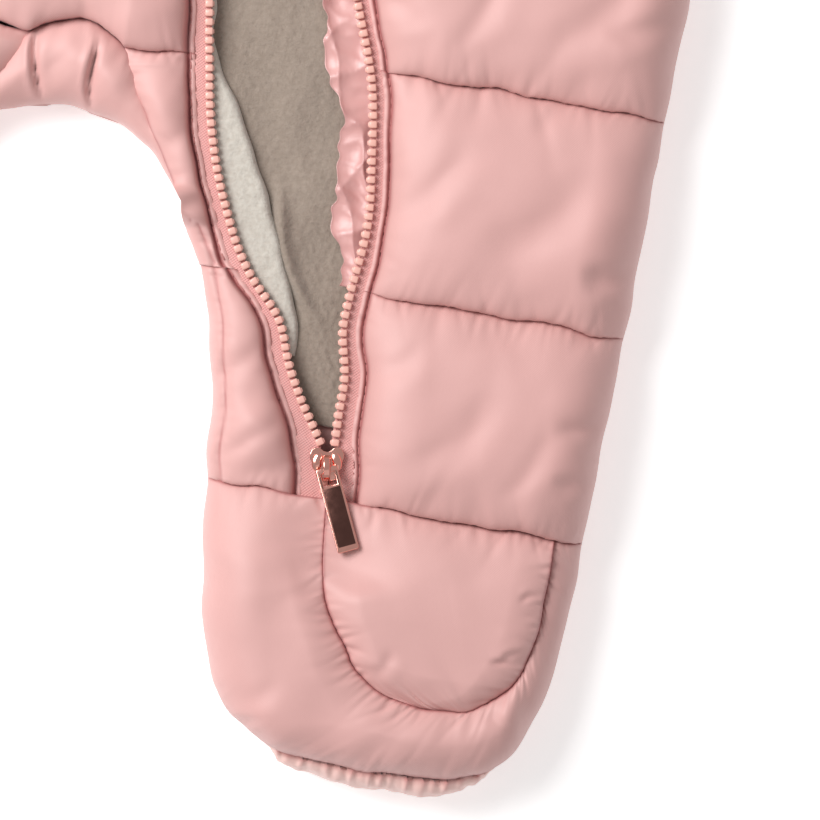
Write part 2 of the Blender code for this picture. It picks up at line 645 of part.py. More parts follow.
def front_edges(torso, legs):
    """Sewn edges of the two front walls along the zip, from the collar's top down to the ankle.

    Returns two lists of (x, y) with one point for each row, so that they can be paired.
    """
    right, left = torso["right"], torso["left"]
    inner = [row[-1] for row in reversed(right)] + [row[-1] for row in reversed(legs["inner"][:-1])]
    outer = [row[0] for row in reversed(left)] + [row[0] for row in reversed(legs["outer"][:-1])]
    inner.insert(0, (inner[0][0], inner[0][1] + COLLAR_HEIGHT))
    outer.insert(0, (outer[0][0], outer[0][1] + COLLAR_HEIGHT))
    return inner, outer


def build_linings(inner, outer):
    """Build the fleece that the open zip shows: the back's lining, and a strip of the inner front's."""
    pairs = [pair for pair in zip(inner, outer) if pair[0][1] > SLIDER_AT[1] + 10.0]
    grid, high = [], []
    for (ax, ay), (bx, by) in pairs:
        row = []
        for share in (0.0, 0.25, 0.41, 0.48, 0.55, 1.0):
            x = ax + GAP + share * (bx - ax - 2 * GAP)
            row.append((x, ay + share * (by - ay)))
        grid.append(row)
        fold = LINING_FOLD if LINING_EDGE[-1][0] + 12.0 < ay < LINING_EDGE[0][0] else 0.0
        high.append([LINING_TOP + h for h in (0.0, 0.0, 0.0, fold, 0.0, 0.0)])
    grid[0] = [(x, BACK_NECK_Y - GAP) for x, _ in grid[0]]
    pad("lining_back", grid, flat(grid, MID + GAP), high, FLEECE)

    edge = [(x, y) for x, y in inner if LINING_EDGE[-1][0] - 5.0 < y < LINING_EDGE[0][0] + 5.0]
    grid = []
    for x, y in edge:
        free = smooth_at(LINING_EDGE, y)
        grid.append([(x + GAP, y), (max(free - 3.0, x + 1.0), y), (free, y)])
    high = [[TEETH_LOW - GAP, LINING_TOP + LINING_FOLD + 1.0, LINING_TOP + 1.8]] * len(grid)
    pad("lining_inner_front", grid, flat(grid, LINING_TOP + GAP), high, FLEECE)


def build_facing(outer):
    """Build the shiny facing inside the outer zip edge, free towards the opening."""
    edge = [(x, y) for x, y in outer if FACING_EDGE[-1][0] - 2.0 < y < FACING_EDGE[0][0] + 8.0]
    grid = []
    for x, y in edge:
        a, b = smooth_at(FACING_EDGE, y), x - GAP
        grid.append([(a, y), (a + 0.35 * (b - a), y), (b, y)])
    high = [[FACING_LOW + 1.6, FACING_LOW + 2.6, TEETH_LOW - GAP]] * len(grid)
    low = [[FACING_LOW, FACING_LOW + 0.8, FACING_LOW + 1.6]] * len(grid)
    pad("zip_facing", grid, low, high, FACING)


def build_zip(inner, outer):
    """Build the two tapes, the two open rows of teeth, and the closed chain below the slider."""
    open_end = SLIDER_AT[1] + 0.5 * SLIDER_LENGTH + GAP
    closed_end = SLIDER_AT[1] - 0.5 * SLIDER_LENGTH - GAP
    half_teeth = 0.5 * TEETH_WIDTH
    clearance = 0.5 * SLIDER_WIDTH_OPEN + 2.5 * GAP
    bead = (TEETH_TOP - 1.3, TEETH_TOP, TEETH_TOP, TEETH_TOP - 1.3)

    for side, sign, edge in (("inner", 1.0, inner), ("outer", -1.0, outer)):
        teeth = [(x + sign * tape_reach(y), y) for x, y in edge if y > open_end + 1.0]
        grid = [[(x + k * half_teeth, y) for k in (-1.0, -0.45, 0.45, 1.0)] for x, y in teeth]
        end_x = SLIDER_AT[0] - 0.9 - sign * (half_teeth + 0.4)
        grid.append([(end_x + k * half_teeth, open_end + GAP) for k in (-1.0, -0.45, 0.45, 1.0)])
        pad("zip_teeth_" + side, grid, flat(grid, TEETH_LOW), [bead] * len(grid), TEETH)

        grid = []
        for x, y in edge:
            if y < closed_end - 1.0:
                break
            free = x + sign * (tape_reach(y) - half_teeth - GAP)
            if y < open_end + 4.0:
                free = SLIDER_AT[0] - sign * clearance
            grid.append([(x + sign * GAP, y), (free, y)])
        pad("zip_tape_" + side, grid, flat(grid, TAPE_LOW), flat(grid, TAPE_TOP), TAPE)

    grid = []
    for k, y in ((1, closed_end - 1.5), (0, ANKLE_Y + 2 * GAP)):
        t = (y - LEG_ROWS[0]) / (LEG_ROWS[1] - LEG_ROWS[0])
        a, b = (lerp2(edge[-1], edge[-2], t)[0] for edge in (inner, outer))
        width = b - a - 2 * GAP
        grid.append([(a + GAP + share * width, y) for share in (0.0, 0.33, 0.42, 0.58, 0.67, 1.0)])
    row = (TAPE_TOP, TAPE_TOP, TEETH_TOP - 0.4, TEETH_TOP - 0.4, TAPE_TOP, TAPE_TOP)
    pad("zip_chain_closed", grid, flat(grid, TAPE_LOW), [row] * len(grid), TEETH)


def prism(profile, low, high):
    """Return a bmesh prism of a closed plan profile in millimetres, between two heights."""
    bm = bmesh.new()
    under = [bm.verts.new((x * MM, y * MM, low * MM)) for x, y in profile]
    top = [bm.verts.new((x * MM, y * MM, high * MM)) for x, y in profile]
    bm.faces.new(list(reversed(under)))
    bm.faces.new(top)
    for k in range(len(profile)):
        n = (k + 1) % len(profile)
        bm.faces.new((under[k], under[n], top[n], top[k]))
    return bm


def add_boolean(piece, tool, operation):
    """Cut or join a tool into a piece, and keep the tool as a hidden guide."""
    tool.hide_render = True
    tool.display_type = "WIRE"
    modifier = piece.modifiers.new(tool.name, "BOOLEAN")
    modifier.operation = operation
    modifier.solver = "EXACT"
    modifier.object = tool


def build_slider():
    """Slider with a rounded shield shape and the bail over it that holds the pull."""
    half = 0.5 * SLIDER_LENGTH
    wide, narrow = 0.5 * SLIDER_WIDTH_OPEN, 0.5 * SLIDER_WIDTH_CLOSED
    right = [(0.55 * wide, half), (0.92 * wide, 0.86 * half), (wide, 0.45 * half), (0.86 * wide, 0.05 * half),
             (narrow, -0.45 * half), (0.95 * narrow, -0.85 * half), (0.6 * narrow, -half)]
    profile = [(0.0, 0.72 * half)] + right + [(-x, y) for x, y in reversed(right)]
    spin = Matrix.Rotation(SLIDER_TURN, 4, "Z")
    origin = Matrix.Translation(place(*SLIDER_AT, 0.0))

    slider = link_object("zip_slider", prism(profile, SLIDER_LOW, SLIDER_TOP), ROSE_METAL, 30.0)
    slider.matrix_world = origin @ spin

    inner_l, inner_h = 0.5 * EYE_LENGTH, 0.5 * EYE_HEIGHT
    outer_l, outer_h = inner_l + BAIL_WIRE, inner_h + BAIL_WIRE
    bm = bmesh.new()
    rings = []
    for across in (-0.5 * BAIL_WIDTH, 0.5 * BAIL_WIDTH):
        outer = [(-outer_l, -outer_h), (-outer_l, 0.45 * outer_h), (-0.6 * outer_l, outer_h),
                 (0.6 * outer_l, outer_h), (outer_l, 0.45 * outer_h), (outer_l, -outer_h)]
        inner = [(-inner_l, -inner_h), (-inner_l, 0.35 * inner_h), (-0.6 * inner_l, inner_h),
                 (0.6 * inner_l, inner_h), (inner_l, 0.35 * inner_h), (inner_l, -inner_h)]
        ring = []
        for loop in (outer, inner):
            places = [(across, s - BAIL_SHIFT, PIVOT_HEIGHT + h) for s, h in loop]
            ring.append([bm.verts.new((x * MM, y * MM, z * MM)) for x, y, z in places])
        rings.append(ring)
    count = 6
    for k in range(count):
        n = (k + 1) % count
        (outer_a, inner_a), (outer_b, inner_b) = rings
        bm.faces.new((outer_a[k], outer_a[n], inner_a[n], inner_a[k]))
        bm.faces.new((outer_b[n], outer_b[k], inner_b[k], inner_b[n]))
        bm.faces.new((outer_a[n], outer_a[k], outer_b[k], outer_b[n]))
        bm.faces.new((inner_a[k], inner_a[n], inner_b[n], inner_b[k]))
    bail = link_object("slider_bail_tool", bm, ROSE_METAL, 30.0)
    bail.matrix_world = origin @ spin
    add_boolean(slider, bail, "UNION")


def build_pull():
    """Flat pull bar with a window at its upper end; its cross bar turns in the slider's eye."""
    pivot = bpy.data.objects.new("pull_pivot", None)
    bpy.context.scene.collection.objects.link(pivot)
    turn = Matrix.Rotation(PULL_TURN, 4, "Z") @ Matrix.Rotation(-PULL_RISE, 4, "X")
    x = SLIDER_AT[0] + PIVOT_SHIFT * math.sin(SLIDER_TURN)
    y = SLIDER_AT[1] - PIVOT_SHIFT * math.cos(SLIDER_TURN)
    pivot.matrix_world = Matrix.Translation(place(x, y, PIVOT_HEIGHT)) @ turn

    near, far = PULL_BEYOND_PIVOT, PULL_BEYOND_PIVOT - PULL_LENGTH
    half, corner = 0.5 * PULL_WIDTH, 0.7
    right = [(half - corner, near), (half, near - corner), (half, far + corner), (half - corner, far)]
    profile = right + [(-x, y) for x, y in reversed(right)]
    bar = link_object("zip_pull", prism(profile, -0.5 * PULL_THICK, 0.5 * PULL_THICK), ROSE_METAL, 30.0)
    bar.parent = pivot

    half = 0.5 * WINDOW_WIDTH
    hole = [(-half, -WINDOW_NEAR), (-half, -WINDOW_FAR), (half, -WINDOW_FAR), (half, -WINDOW_NEAR)]
    window = link_object("pull_window_tool", prism(hole, -PULL_THICK, PULL_THICK), DARK_METAL, 30.0)
    window.parent = pivot
    add_boolean(bar, window, "DIFFERENCE")


def build():
    """Build every piece of the suit."""
    clear_scene()
    torso = build_torso()
    legs = build_front_legs(torso["right"])
    build_gusset()
    build_back_legs()
    build_feet()
    build_sleeves()
    build_collar(torso)
    inner, outer = front_edges(torso, legs)
    build_linings(inner, outer)
    build_facing(outer)
    build_zip(inner, outer)
    build_slider()
    build_pull()


build()
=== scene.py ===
"""Looks of a padded, footed baby snowsuit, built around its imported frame.

The suit lies open on its back. Sizes are in millimetres in the suit's own pattern frame: x towards the
wearer's left, y towards the neck, both from the crotch point, and z up from the surface.
"""
import logging
import math
from dataclasses import dataclass, field
from enum import Enum
from typing import Callable, Sequence

import bmesh
import bpy
import numpy as np
from mathutils import Matrix, Vector


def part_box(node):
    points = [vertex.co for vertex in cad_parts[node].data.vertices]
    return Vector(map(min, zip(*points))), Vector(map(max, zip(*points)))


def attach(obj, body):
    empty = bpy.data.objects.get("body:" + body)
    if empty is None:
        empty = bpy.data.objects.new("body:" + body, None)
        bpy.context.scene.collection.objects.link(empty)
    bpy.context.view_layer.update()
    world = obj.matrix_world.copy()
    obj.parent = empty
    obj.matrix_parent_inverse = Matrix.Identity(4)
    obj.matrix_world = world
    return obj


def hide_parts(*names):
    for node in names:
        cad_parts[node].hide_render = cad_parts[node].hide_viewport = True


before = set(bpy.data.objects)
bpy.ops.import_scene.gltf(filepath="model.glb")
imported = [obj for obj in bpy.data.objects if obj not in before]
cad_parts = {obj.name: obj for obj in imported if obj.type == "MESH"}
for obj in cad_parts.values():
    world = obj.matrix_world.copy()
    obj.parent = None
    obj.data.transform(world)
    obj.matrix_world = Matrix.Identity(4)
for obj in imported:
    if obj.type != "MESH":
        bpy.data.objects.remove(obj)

LOG = logging.getLogger("snowsuit")
Array = np.ndarray
Curve = Callable[[Array], Array]
Outline = Sequence[tuple[float, float]]
Piece = bpy.types.Object
Material = bpy.types.Material
Tree = bpy.types.NodeTree
Node = bpy.types.Node
Socket = bpy.types.NodeSocket
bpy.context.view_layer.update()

MM = 0.001
GARMENT = "garment"
PULL = "pull"


def smooth(table: Sequence[tuple[float, ...]], key: Array | float, column: int = 1) -> Array:
    """Read a column of a table along a smooth curve through its rows.

    Args:
        table: Rows whose first value is the key.
        key: One key or an array of them; keys past the ends read the end rows.
        column: The column to read.

    Returns:
        The values at the keys.
    """
    rows = sorted(table)
    keys = np.array([row[0] for row in rows], dtype=float)
    values = np.array([row[column] for row in rows], dtype=float)
    slopes = np.gradient(values, keys)
    at = np.clip(np.asarray(key, dtype=float), keys[0], keys[-1])
    index = np.clip(np.searchsorted(keys, at, side="right") - 1, 0, len(keys) - 2)
    step = keys[index + 1] - keys[index]
    t = (at - keys[index]) / step
    rise = values[index + 1] - values[index]
    start = slopes[index] * step - rise
    end = rise - slopes[index + 1] * step
    return values[index] + rise * t + t * (1.0 - t) * ((1.0 - t) * start + t * end)


def run_length(line: Array) -> Array:
    """Return how far along a line each of its points lies."""
    return np.concatenate(([0.0], np.cumsum(np.linalg.norm(np.diff(line, axis=0), axis=1))))


def step_along(line: Array, wanted: Array) -> Array:
    """Return the plan points that lie at some distances along a line."""
    length = run_length(line)
    return np.stack([np.interp(wanted, length, line[:, axis]) for axis in (0, 1)], axis=1)


def resample(points: Outline, count: int) -> Array:
    """Return count evenly spaced points on a smooth curve through a few plan points."""
    given = np.array(points, dtype=float)
    reach = run_length(given)
    fine = np.linspace(0.0, reach[-1], 60 * len(points))
    curve = np.stack([smooth(list(zip(reach, given[:, axis])), fine) for axis in (0, 1)], axis=1)
    return step_along(curve, np.linspace(0.0, run_length(curve)[-1], count))


def spread(rows: Array, left: Array, right: Array, shares: Array) -> tuple[Array, Array]:
    """Spread points between two side lines.

    Args:
        rows: The y of each row.
        left: The first side's x in each row.
        right: The last side's x in each row.
        shares: The points' places between the sides, from 0 to 1.

    Returns:
        The grids of x and of y.
    """
    x = left[:, None] + shares[None] * (right - left)[:, None]
    return x, np.repeat(rows[:, None], len(shares), axis=1)


def rounding(away: Array, reach: float, power: float) -> Array:
    """Rise from 0 at an edge to 1 at reach, as steep at the edge as a full pillow."""
    t = np.clip(away / reach, 0.0, 1.0)
    return (1.0 - (1.0 - t) ** power) ** (1.0 / power)


def fade(value: Array, start: float, end: float) -> Array:
    """Go softly from 0 at start to 1 at end."""
    t = np.clip((value - start) / (end - start), 0.0, 1.0)
    return t * t * (3.0 - 2.0 * t)


def waves(x: Array, y: Array, length: float, seed: int, count: int = 9) -> Array:
    """Soft irregular relief between about -1 and 1, made of crossing waves.

    Args:
        x: Plan coordinate in millimetres.
        y: Plan coordinate in millimetres.
        length: Typical distance between crests.
        seed: Seed of the irregularity.
        count: Number of crossing waves.

    Returns:
        The relief at each point.
    """
    draw = np.random.default_rng(seed)
    total = np.zeros(np.broadcast(x, y).shape)
    for _ in range(count):
        angle = draw.uniform(0.0, 2.0 * math.pi)
        number = 2.0 * math.pi / (length * draw.uniform(0.6, 1.6))
        phase = draw.uniform(0.0, 2.0 * math.pi)
        total += np.sin(number * (x * math.cos(angle) + y * math.sin(angle)) + phase)
    return total / math.sqrt(count)


@dataclass(frozen=True)
class Heights:
    """Heights of the layers above the surface that the suit lies on."""

    middle: float = 17.0
    gap: float = 0.3
    lining: float = 20.0
    facing: float = 20.8
    tape: float = 25.3
    tape_thick: float = 0.9
    teeth_middle: float = 26.3


@dataclass(frozen=True)
class Pattern:
    """Cutting pattern of the suit: its seams, edges and quilt lines, with named columns."""

    waist_y: float = 33.0
    knee_y: float = -50.0
    ankle_y: float = -128.5
    quilt_step: float = 86.0
    armpit: tuple[float, float] = (178.0, 310.0)
    shoulder: tuple[float, float] = (150.0, 452.0)
    neck_point: tuple[float, float] = (82.0, 467.0)
    front_neck_y: float = 412.0
    back_neck_y: float = 455.0
    collar_height: float = 38.0
    seam_strip: float = 0.1
    inseam_inset: float = 5.5
    # y, x
    outer_table: tuple = (
        (-128.5, 219.5), (-50.0, 221.5), (33.0, 222.5), (100.0, 223.0),
        (180.0, 211.0), (250.0, 193.0), (310.0, 178.0),
    )
    # y, x
    crotch_table: tuple = (
        (0.0, 3.0), (-2.0, 17.0), (-9.0, 31.0), (-20.0, 42.0), (-33.0, 52.0), (-50.0, 59.5),
        (-68.0, 65.0), (-92.0, 71.0), (-128.5, 75.5),
    )
    # y, inner row of teeth x, outer row of teeth x
    zip_table: tuple = (
        (450.0, -40.5, 40.5), (412.0, -45.0, 45.0), (300.0, -41.0, 47.0), (250.0, -30.0, 51.0),
        (200.0, -10.0, 59.0), (150.0, 12.0, 70.0), (100.0, 32.0, 84.0), (57.0, 44.0, 100.6),
        (27.0, 49.4, 111.5), (0.0, 55.0, 116.2), (-25.0, 64.0, 119.0), (-52.0, 79.6, 117.0),
        (-64.0, 91.0, 116.6), (-82.0, 99.0, 120.3), (-108.0, 113.2, 120.9), (-116.0, 116.2, 122.4),
        (-129.0, 118.9, 124.1),
    )
    # y, distance from the teeth to the sewn edge
    tape_table: tuple = (
        (-129.0, 6.3), (-108.0, 6.4), (-90.0, 5.4), (-60.0, 4.6), (-20.0, 4.2), (450.0, 4.2),
    )
    # y, x
    facing_table: tuple = (
        (405.0, 31.0), (300.0, 35.0), (200.0, 45.0), (100.0, 69.0), (55.0, 88.5), (35.0, 92.0),
        (11.0, 103.0), (-16.0, 104.0), (-38.0, 110.5), (-47.0, 113.5),
    )
    # y, x
    lining_table: tuple = (
        (70.0, 42.0), (48.0, 47.2), (24.0, 53.0), (13.0, 61.0), (-4.0, 70.0), (-21.0, 79.5),
        (-41.0, 88.0), (-58.0, 95.0), (-74.0, 99.5),
    )
    # x, y
    arch_table: tuple = ((0.0, 32.0), (7.4, 31.0), (12.6, 29.0), (17.4, 25.8))
    gusset_seam: tuple = (
        (17.4, 25.8), (22.5, 18.0), (28.0, 8.0), (33.0, -1.0), (38.0, -9.5), (44.0, -19.0), (49.0, -27.5),
    )
    gusset_hem: tuple = (
        (0.0, 0.0), (9.0, -0.6), (17.0, -2.4), (24.5, -5.2), (31.0, -9.4), (41.5, -19.6), (49.6, -29.6),
    )
    vamp_seam: tuple = (
        (122.5, -128.5), (123.2, -144.0), (126.5, -160.0), (134.0, -176.0), (147.0, -192.5), (167.0, -199.0),
        (188.0, -196.5), (201.0, -186.0), (207.5, -168.0), (208.5, -148.0), (208.2, -128.5),
    )
    foot_outline: tuple = (
        (75.5, -128.5), (79.0, -158.0), (85.5, -189.0), (96.0, -211.0), (114.0, -223.0), (135.0, -226.0),
        (165.0, -226.3), (188.0, -223.5), (204.0, -215.0), (213.5, -197.0), (218.5, -163.0), (219.5, -128.5),
    )

    def inner_teeth(self, y: Array) -> Array:
        """Middle of the inner row of teeth."""
        return smooth(self.zip_table, y, 1)

    def outer_teeth(self, y: Array) -> Array:
        """Middle of the outer row of teeth."""
        return smooth(self.zip_table, y, 2)

    def tape_reach(self, y: Array) -> Array:
        """Distance from a row of teeth to the wall's sewn edge."""
        return np.interp(y, [row[0] for row in self.tape_table], [row[1] for row in self.tape_table])

    def inner_edge(self, y: Array) -> Array:
        """Sewn front edge of the inner front wall."""
        return self.inner_teeth(y) - self.tape_reach(y)

    def outer_edge(self, y: Array) -> Array:
        """Sewn front edge of the outer front wall."""
        return self.outer_teeth(y) + self.tape_reach(y)

    def outer_side(self, y: Array) -> Array:
        """Silhouette of torso and leg."""
        return smooth(self.outer_table, y)

    def crotch_side(self, y: Array) -> Array:
        """Silhouette of the leg's inner side, and the middle seam above the crotch."""
        return np.where(np.asarray(y) > 0.0, 0.2, smooth(self.crotch_table, y))

    def torso_side(self, y: Array) -> Array:
        """Side of the torso: the silhouette up to the armpit, then the armhole seam."""
        y = np.asarray(y, dtype=float)
        t = np.clip((y - self.armpit[1]) / (self.shoulder[1] - self.armpit[1]), 0.0, 1.0)
        armhole = self.armpit[0] + t * (self.shoulder[0] - self.armpit[0])
        return np.where(y <= self.armpit[1], smooth(self.outer_table, y), armhole)

    def waist_edge(self, x: Array) -> Array:
        """Seam between torso and legs."""
        t = np.clip((np.abs(x) - 19.0) / 86.0, 0.0, 1.0)
        return 25.0 + t * 8.0

    def arch_edge(self, x: Array) -> Array:
        """Lower edge of the front torso: the arch over the gusset, then the leg seam."""
        near = np.abs(x)
        return np.where(near < self.arch_table[-1][0], smooth(self.arch_table, near), self.waist_edge(x))

    def neck_edge(self, x: Array, centre_y: float) -> Array:
        """Upper edge of a torso wall: neckline between the neck points, then the shoulder."""
        near = np.abs(x)
        out = np.clip((near - self.neck_point[0]) / (self.shoulder[0] - self.neck_point[0]), 0.0, 1.0)
        shoulder = self.neck_point[1] + out * (self.shoulder[1] - self.neck_point[1])
        inside = np.clip(near / self.neck_point[0], 0.0, 1.0)
        neckline = centre_y + (self.neck_point[1] - centre_y) * inside ** 3
        return np.where(near >= self.neck_point[0], shoulder, neckline)

    def inseam(self, y: Array) -> Array:
        """Inner edge of the leg's front: the gusset seam above, then the inseam."""
        y = np.asarray(y, dtype=float)
        tip_x, tip_y = self.gusset_seam[-1]
        above = smooth([(b, a) for a, b in self.gusset_seam], y)
        blend = np.clip((tip_y - y) / 20.0, 0.0, 1.0)
        below = tip_x + (self.crotch_side(y) + self.seam_strip - tip_x) * blend
        return np.where(y >= tip_y, above, below)


HEIGHTS = Heights()
PATTERN = Pattern()
# The lower end of a leg's back wall is the ankle seam, which places the pattern in the frame.
MIDDLE_Y = PATTERN.ankle_y + HEIGHTS.gap - float(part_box("back_leg_left")[0][1]) / MM


def to_frame(points: Array) -> Array:
    """Turn pattern points in millimetres into the frame's metres."""
    moved = np.array(points, dtype=float)
    moved[..., 1] -= MIDDLE_Y
    return moved * MM


# ---------------------------------------------------------------- finishes
FLOAT = "NodeSocketFloat"
COLOUR = "NodeSocketColor"


def new_material(name: str) -> tuple[Material, Tree, Node]:
    """Make a node material and return it with its tree and its Principled shader."""
    material = bpy.data.materials.new(name)
    material.use_nodes = True
    tree = material.node_tree
    return material, tree, tree.nodes["Principled BSDF"]


def set_inputs(node: Node, values: dict[str, object]) -> None:
    """Set plain values of a node's inputs by name."""
    for label, value in values.items():
        node.inputs[label].default_value = value


def add_node(
    tree: Tree, kind: str, values: dict | None = None, feeds: dict | None = None, **settings: object
) -> Node:
    """Add a shader node to a material's tree or to a node group.

    Args:
        tree: The tree or group.
        kind: The node's type.
        values: Plain values of its inputs, by name.
        feeds: Sockets that are linked to its inputs, by name or number.
        settings: The node's own settings, made before its inputs.

    Returns:
        The node.
    """
    node = tree.nodes.new(kind)
    for label, value in settings.items():
        setattr(node, label, value)
    set_inputs(node, values or {})
    for label, socket in (feeds or {}).items():
        tree.links.new(socket, node.inputs[label])
    return node


def add_math(tree: Tree, operation: str, *sockets: Socket) -> Socket:
    """Add a math node fed by some sockets and return its output."""
    node = add_node(tree, "ShaderNodeMath", feeds=dict(enumerate(sockets)), operation=operation)
    return node.outputs["Value"]


def add_noise(
    tree: Tree, values: dict[str, float], vector: Socket
) -> Socket:
    """Add a noise texture and return its height."""
    return add_node(tree, "ShaderNodeTexNoise", values, {"Vector": vector}).outputs["Fac"]


def add_bump(
    tree: Tree, distance: float, height: Socket,
    normal: Socket | None = None,
) -> Socket:
    """Add a bump and return its normal.

    Args:
        tree: The material's tree.
        distance: Height of the bump in metres.
        height: Where its height comes from.
        normal: The normal that it adds to, if any.

    Returns:
        The bumped normal.
    """
    feeds = {"Height": height} if normal is None else {"Height": height, "Normal": normal}
    return add_node(tree, "ShaderNodeBump", {"Distance": distance, "Strength": 1.0}, feeds).outputs["Normal"]


def object_place(tree: Tree) -> Socket:
    """Add the coordinates of the piece itself and return them."""
    return add_node(tree, "ShaderNodeTexCoord").outputs["Object"]


def new_group(
    name: str, inputs: dict[str, str], output: str, kind: str
) -> tuple[Tree, bpy.types.NodeOutputs, Socket]:
    """Make an empty node group.

    Args:
        name: The group's name.
        inputs: Socket type of each input, by name.
        output: Name of its output.
        kind: Socket type of its output.

    Returns:
        The group, the sockets of its inputs, and the socket that its result goes to.
    """
    group = bpy.data.node_groups.new(name, "ShaderNodeTree")
    for label, socket in inputs.items():
        group.interface.new_socket(label, in_out="INPUT", socket_type=socket)
    group.interface.new_socket(output, in_out="OUTPUT", socket_type=kind)
    start, end = group.nodes.new("NodeGroupInput"), group.nodes.new("NodeGroupOutput")
    return group, start.outputs, end.inputs[output]


def cloth_tone_and_painted_shade_group() -> Tree:
    """Build the node group that varies a dyed cloth's colour at random and paints shade into its creases.

    Returns:
        The group, with inputs Colour, Painted Shade (the colour of the painted shade), Crease (the painted
        shade's mask) and Scale and the output Colour.
    """
    group, given, result = new_group(
        "dyed_tone_and_painted_shade", {"Colour": COLOUR, "Painted Shade": COLOUR, "Crease": FLOAT, "Scale": FLOAT},
        "Colour", COLOUR)
    noise = add_node(
        group, "ShaderNodeTexNoise", {"Detail": 5.0},
        {"Vector": object_place(group), "Scale": given["Scale"]})
    shift = add_node(
        group, "ShaderNodeMapRange", {"From Min": 0.3, "From Max": 0.7, "To Min": 0.965, "To Max": 1.03},
        {"Value": noise.outputs["Fac"]})
    tint = add_node(
        group, "ShaderNodeHueSaturation", {}, {"Value": shift.outputs["Result"], "Color": given["Colour"]})
    # painted shade: mixes the varied colour towards the painted shade colour by the crease mask
    mix = add_node(
        group, "ShaderNodeMix", {},
        {"Factor": given["Crease"], "A": tint.outputs["Color"], "B": given["Painted Shade"]},
        data_type="RGBA")
    group.links.new(mix.outputs["Result"], result)
    return group


def weave_group() -> Tree:
    """Build the node group that gives a fine plain weave with slight slubs as a height.

    Returns:
        The group, with inputs Threads per metre and Slub and the output Height.
    """
    group, given, result = new_group("plain_weave", {"Threads": FLOAT, "Slub": FLOAT}, "Height", FLOAT)
    place = object_place(group)
    split = add_node(group, "ShaderNodeSeparateXYZ", {}, {"Vector": place})
    warp, weft = (
        add_math(group, "SINE", add_math(group, "MULTIPLY", split.outputs[axis], given["Threads"]))
        for axis in ("X", "Y"))
    crossing = add_math(group, "MULTIPLY", warp, weft)
    slubs = add_noise(group, {"Scale": 900.0, "Detail": 3.0}, place)
    group.links.new(add_math(group, "MULTIPLY_ADD", slubs, given["Slub"], crossing), result)
    return group


def rub_group() -> Tree:
    """Build the node group that gives an uneven roughness, for polished and rubbed surfaces.

    Returns:
        The group, with inputs Low, High and Scale and the output Roughness.
    """
    group, given, result = new_group(
        "uneven_roughness", {"Low": FLOAT, "High": FLOAT, "Scale": FLOAT}, "Roughness", FLOAT)
    noise = add_node(
        group, "ShaderNodeTexNoise", {"Detail": 4.0},
        {"Vector": object_place(group), "Scale": given["Scale"]})
    span = add_node(
        group, "ShaderNodeMapRange", {"From Min": 0.3, "From Max": 0.7},
        {"Value": noise.outputs["Fac"], "To Min": given["Low"], "To Max": given["High"]})
    group.links.new(span.outputs["Result"], result)
    return group


@dataclass(frozen=True)
class GroupShelf:
    """Node groups shared by the finishes."""

    tone: Tree
    weave: Tree
    rub: Tree


@dataclass(frozen=True)
class Finish:
    """What every finish of the suit has: a name, a colour and a darker colour painted into its creases as
    shade.
    """

    name: str
    colour: tuple[float, float, float]
    painted_shade_colour: tuple[float, float, float]

    def add_tone_and_painted_shade(
        self, tree: Tree, shader: Node, shelf: GroupShelf, scale: float,
        crease: Socket | None = None,
    ) -> None:
        """Feed the shader's colour from the group that varies its tone and paints shade into its creases.

        Args:
            tree: The material's tree.
            shader: Its shader.
            shelf: The shared groups.
            scale: Scale of the colour's unevenness.
            crease: The mask of the painted crease shade; by default the mesh's crease attribute.
        """
        # painted shade: the mesh's crease attribute says how far each point is darkened
        if crease is None:
            crease = add_node(tree, "ShaderNodeAttribute", attribute_name="crease").outputs["Fac"]
        tone = add_node(
            tree, "ShaderNodeGroup",
            {"Colour": (*self.colour, 1.0), "Painted Shade": (*self.painted_shade_colour, 1.0), "Scale": scale}, {"Crease": crease},
            node_tree=shelf.tone)
        tree.links.new(tone.outputs["Colour"], shader.inputs["Base Color"])


def add_rub(
    tree: Tree, shader: Node, shelf: GroupShelf, low: float, high: float, scale: float
) -> None:
    """Feed a shader's roughness from the uneven roughness group."""
    rub = add_node(tree, "ShaderNodeGroup", {"Low": low, "High": high, "Scale": scale}, node_tree=shelf.rub)
    tree.links.new(rub.outputs["Roughness"], shader.inputs["Roughness"])


@dataclass(frozen=True)
class ClothFinish(Finish):
    """A dyed woven cloth: colour, gloss, sheen, weave and depth of its crumples."""

    rough_low: float
    rough_high: float
    sheen: float
    sheen_rough: float
    threads: float
    weave_depth: float
    crumple_scale: float
    crumple_depth: float
    specular: float = 0.5

    def build(self, shelf: GroupShelf) -> Material:
        """Make the material from the shared groups."""
        material, tree, shader = new_material(self.name)
        self.add_tone_and_painted_shade(tree, shader, shelf, 14.0)
        add_rub(tree, shader, shelf, self.rough_low, self.rough_high, 60.0)
        weave = add_node(
            tree, "ShaderNodeGroup", {"Threads": self.threads, "Slub": 0.8}, node_tree=shelf.weave)
        thread = add_bump(tree, self.weave_depth, weave.outputs["Height"])
        crumples = add_noise(
            tree, {"Scale": self.crumple_scale, "Detail": 3.0, "Roughness": 0.45}, object_place(tree))
        tree.links.new(add_bump(tree, self.crumple_depth, crumples, thread), shader.inputs["Normal"])
        set_inputs(shader, {
            "Sheen Weight": self.sheen, "Sheen Roughness": self.sheen_rough,
            "Sheen Tint": (1.0, 0.9, 0.88, 1.0), "Specular IOR Level": self.specular})
        return material


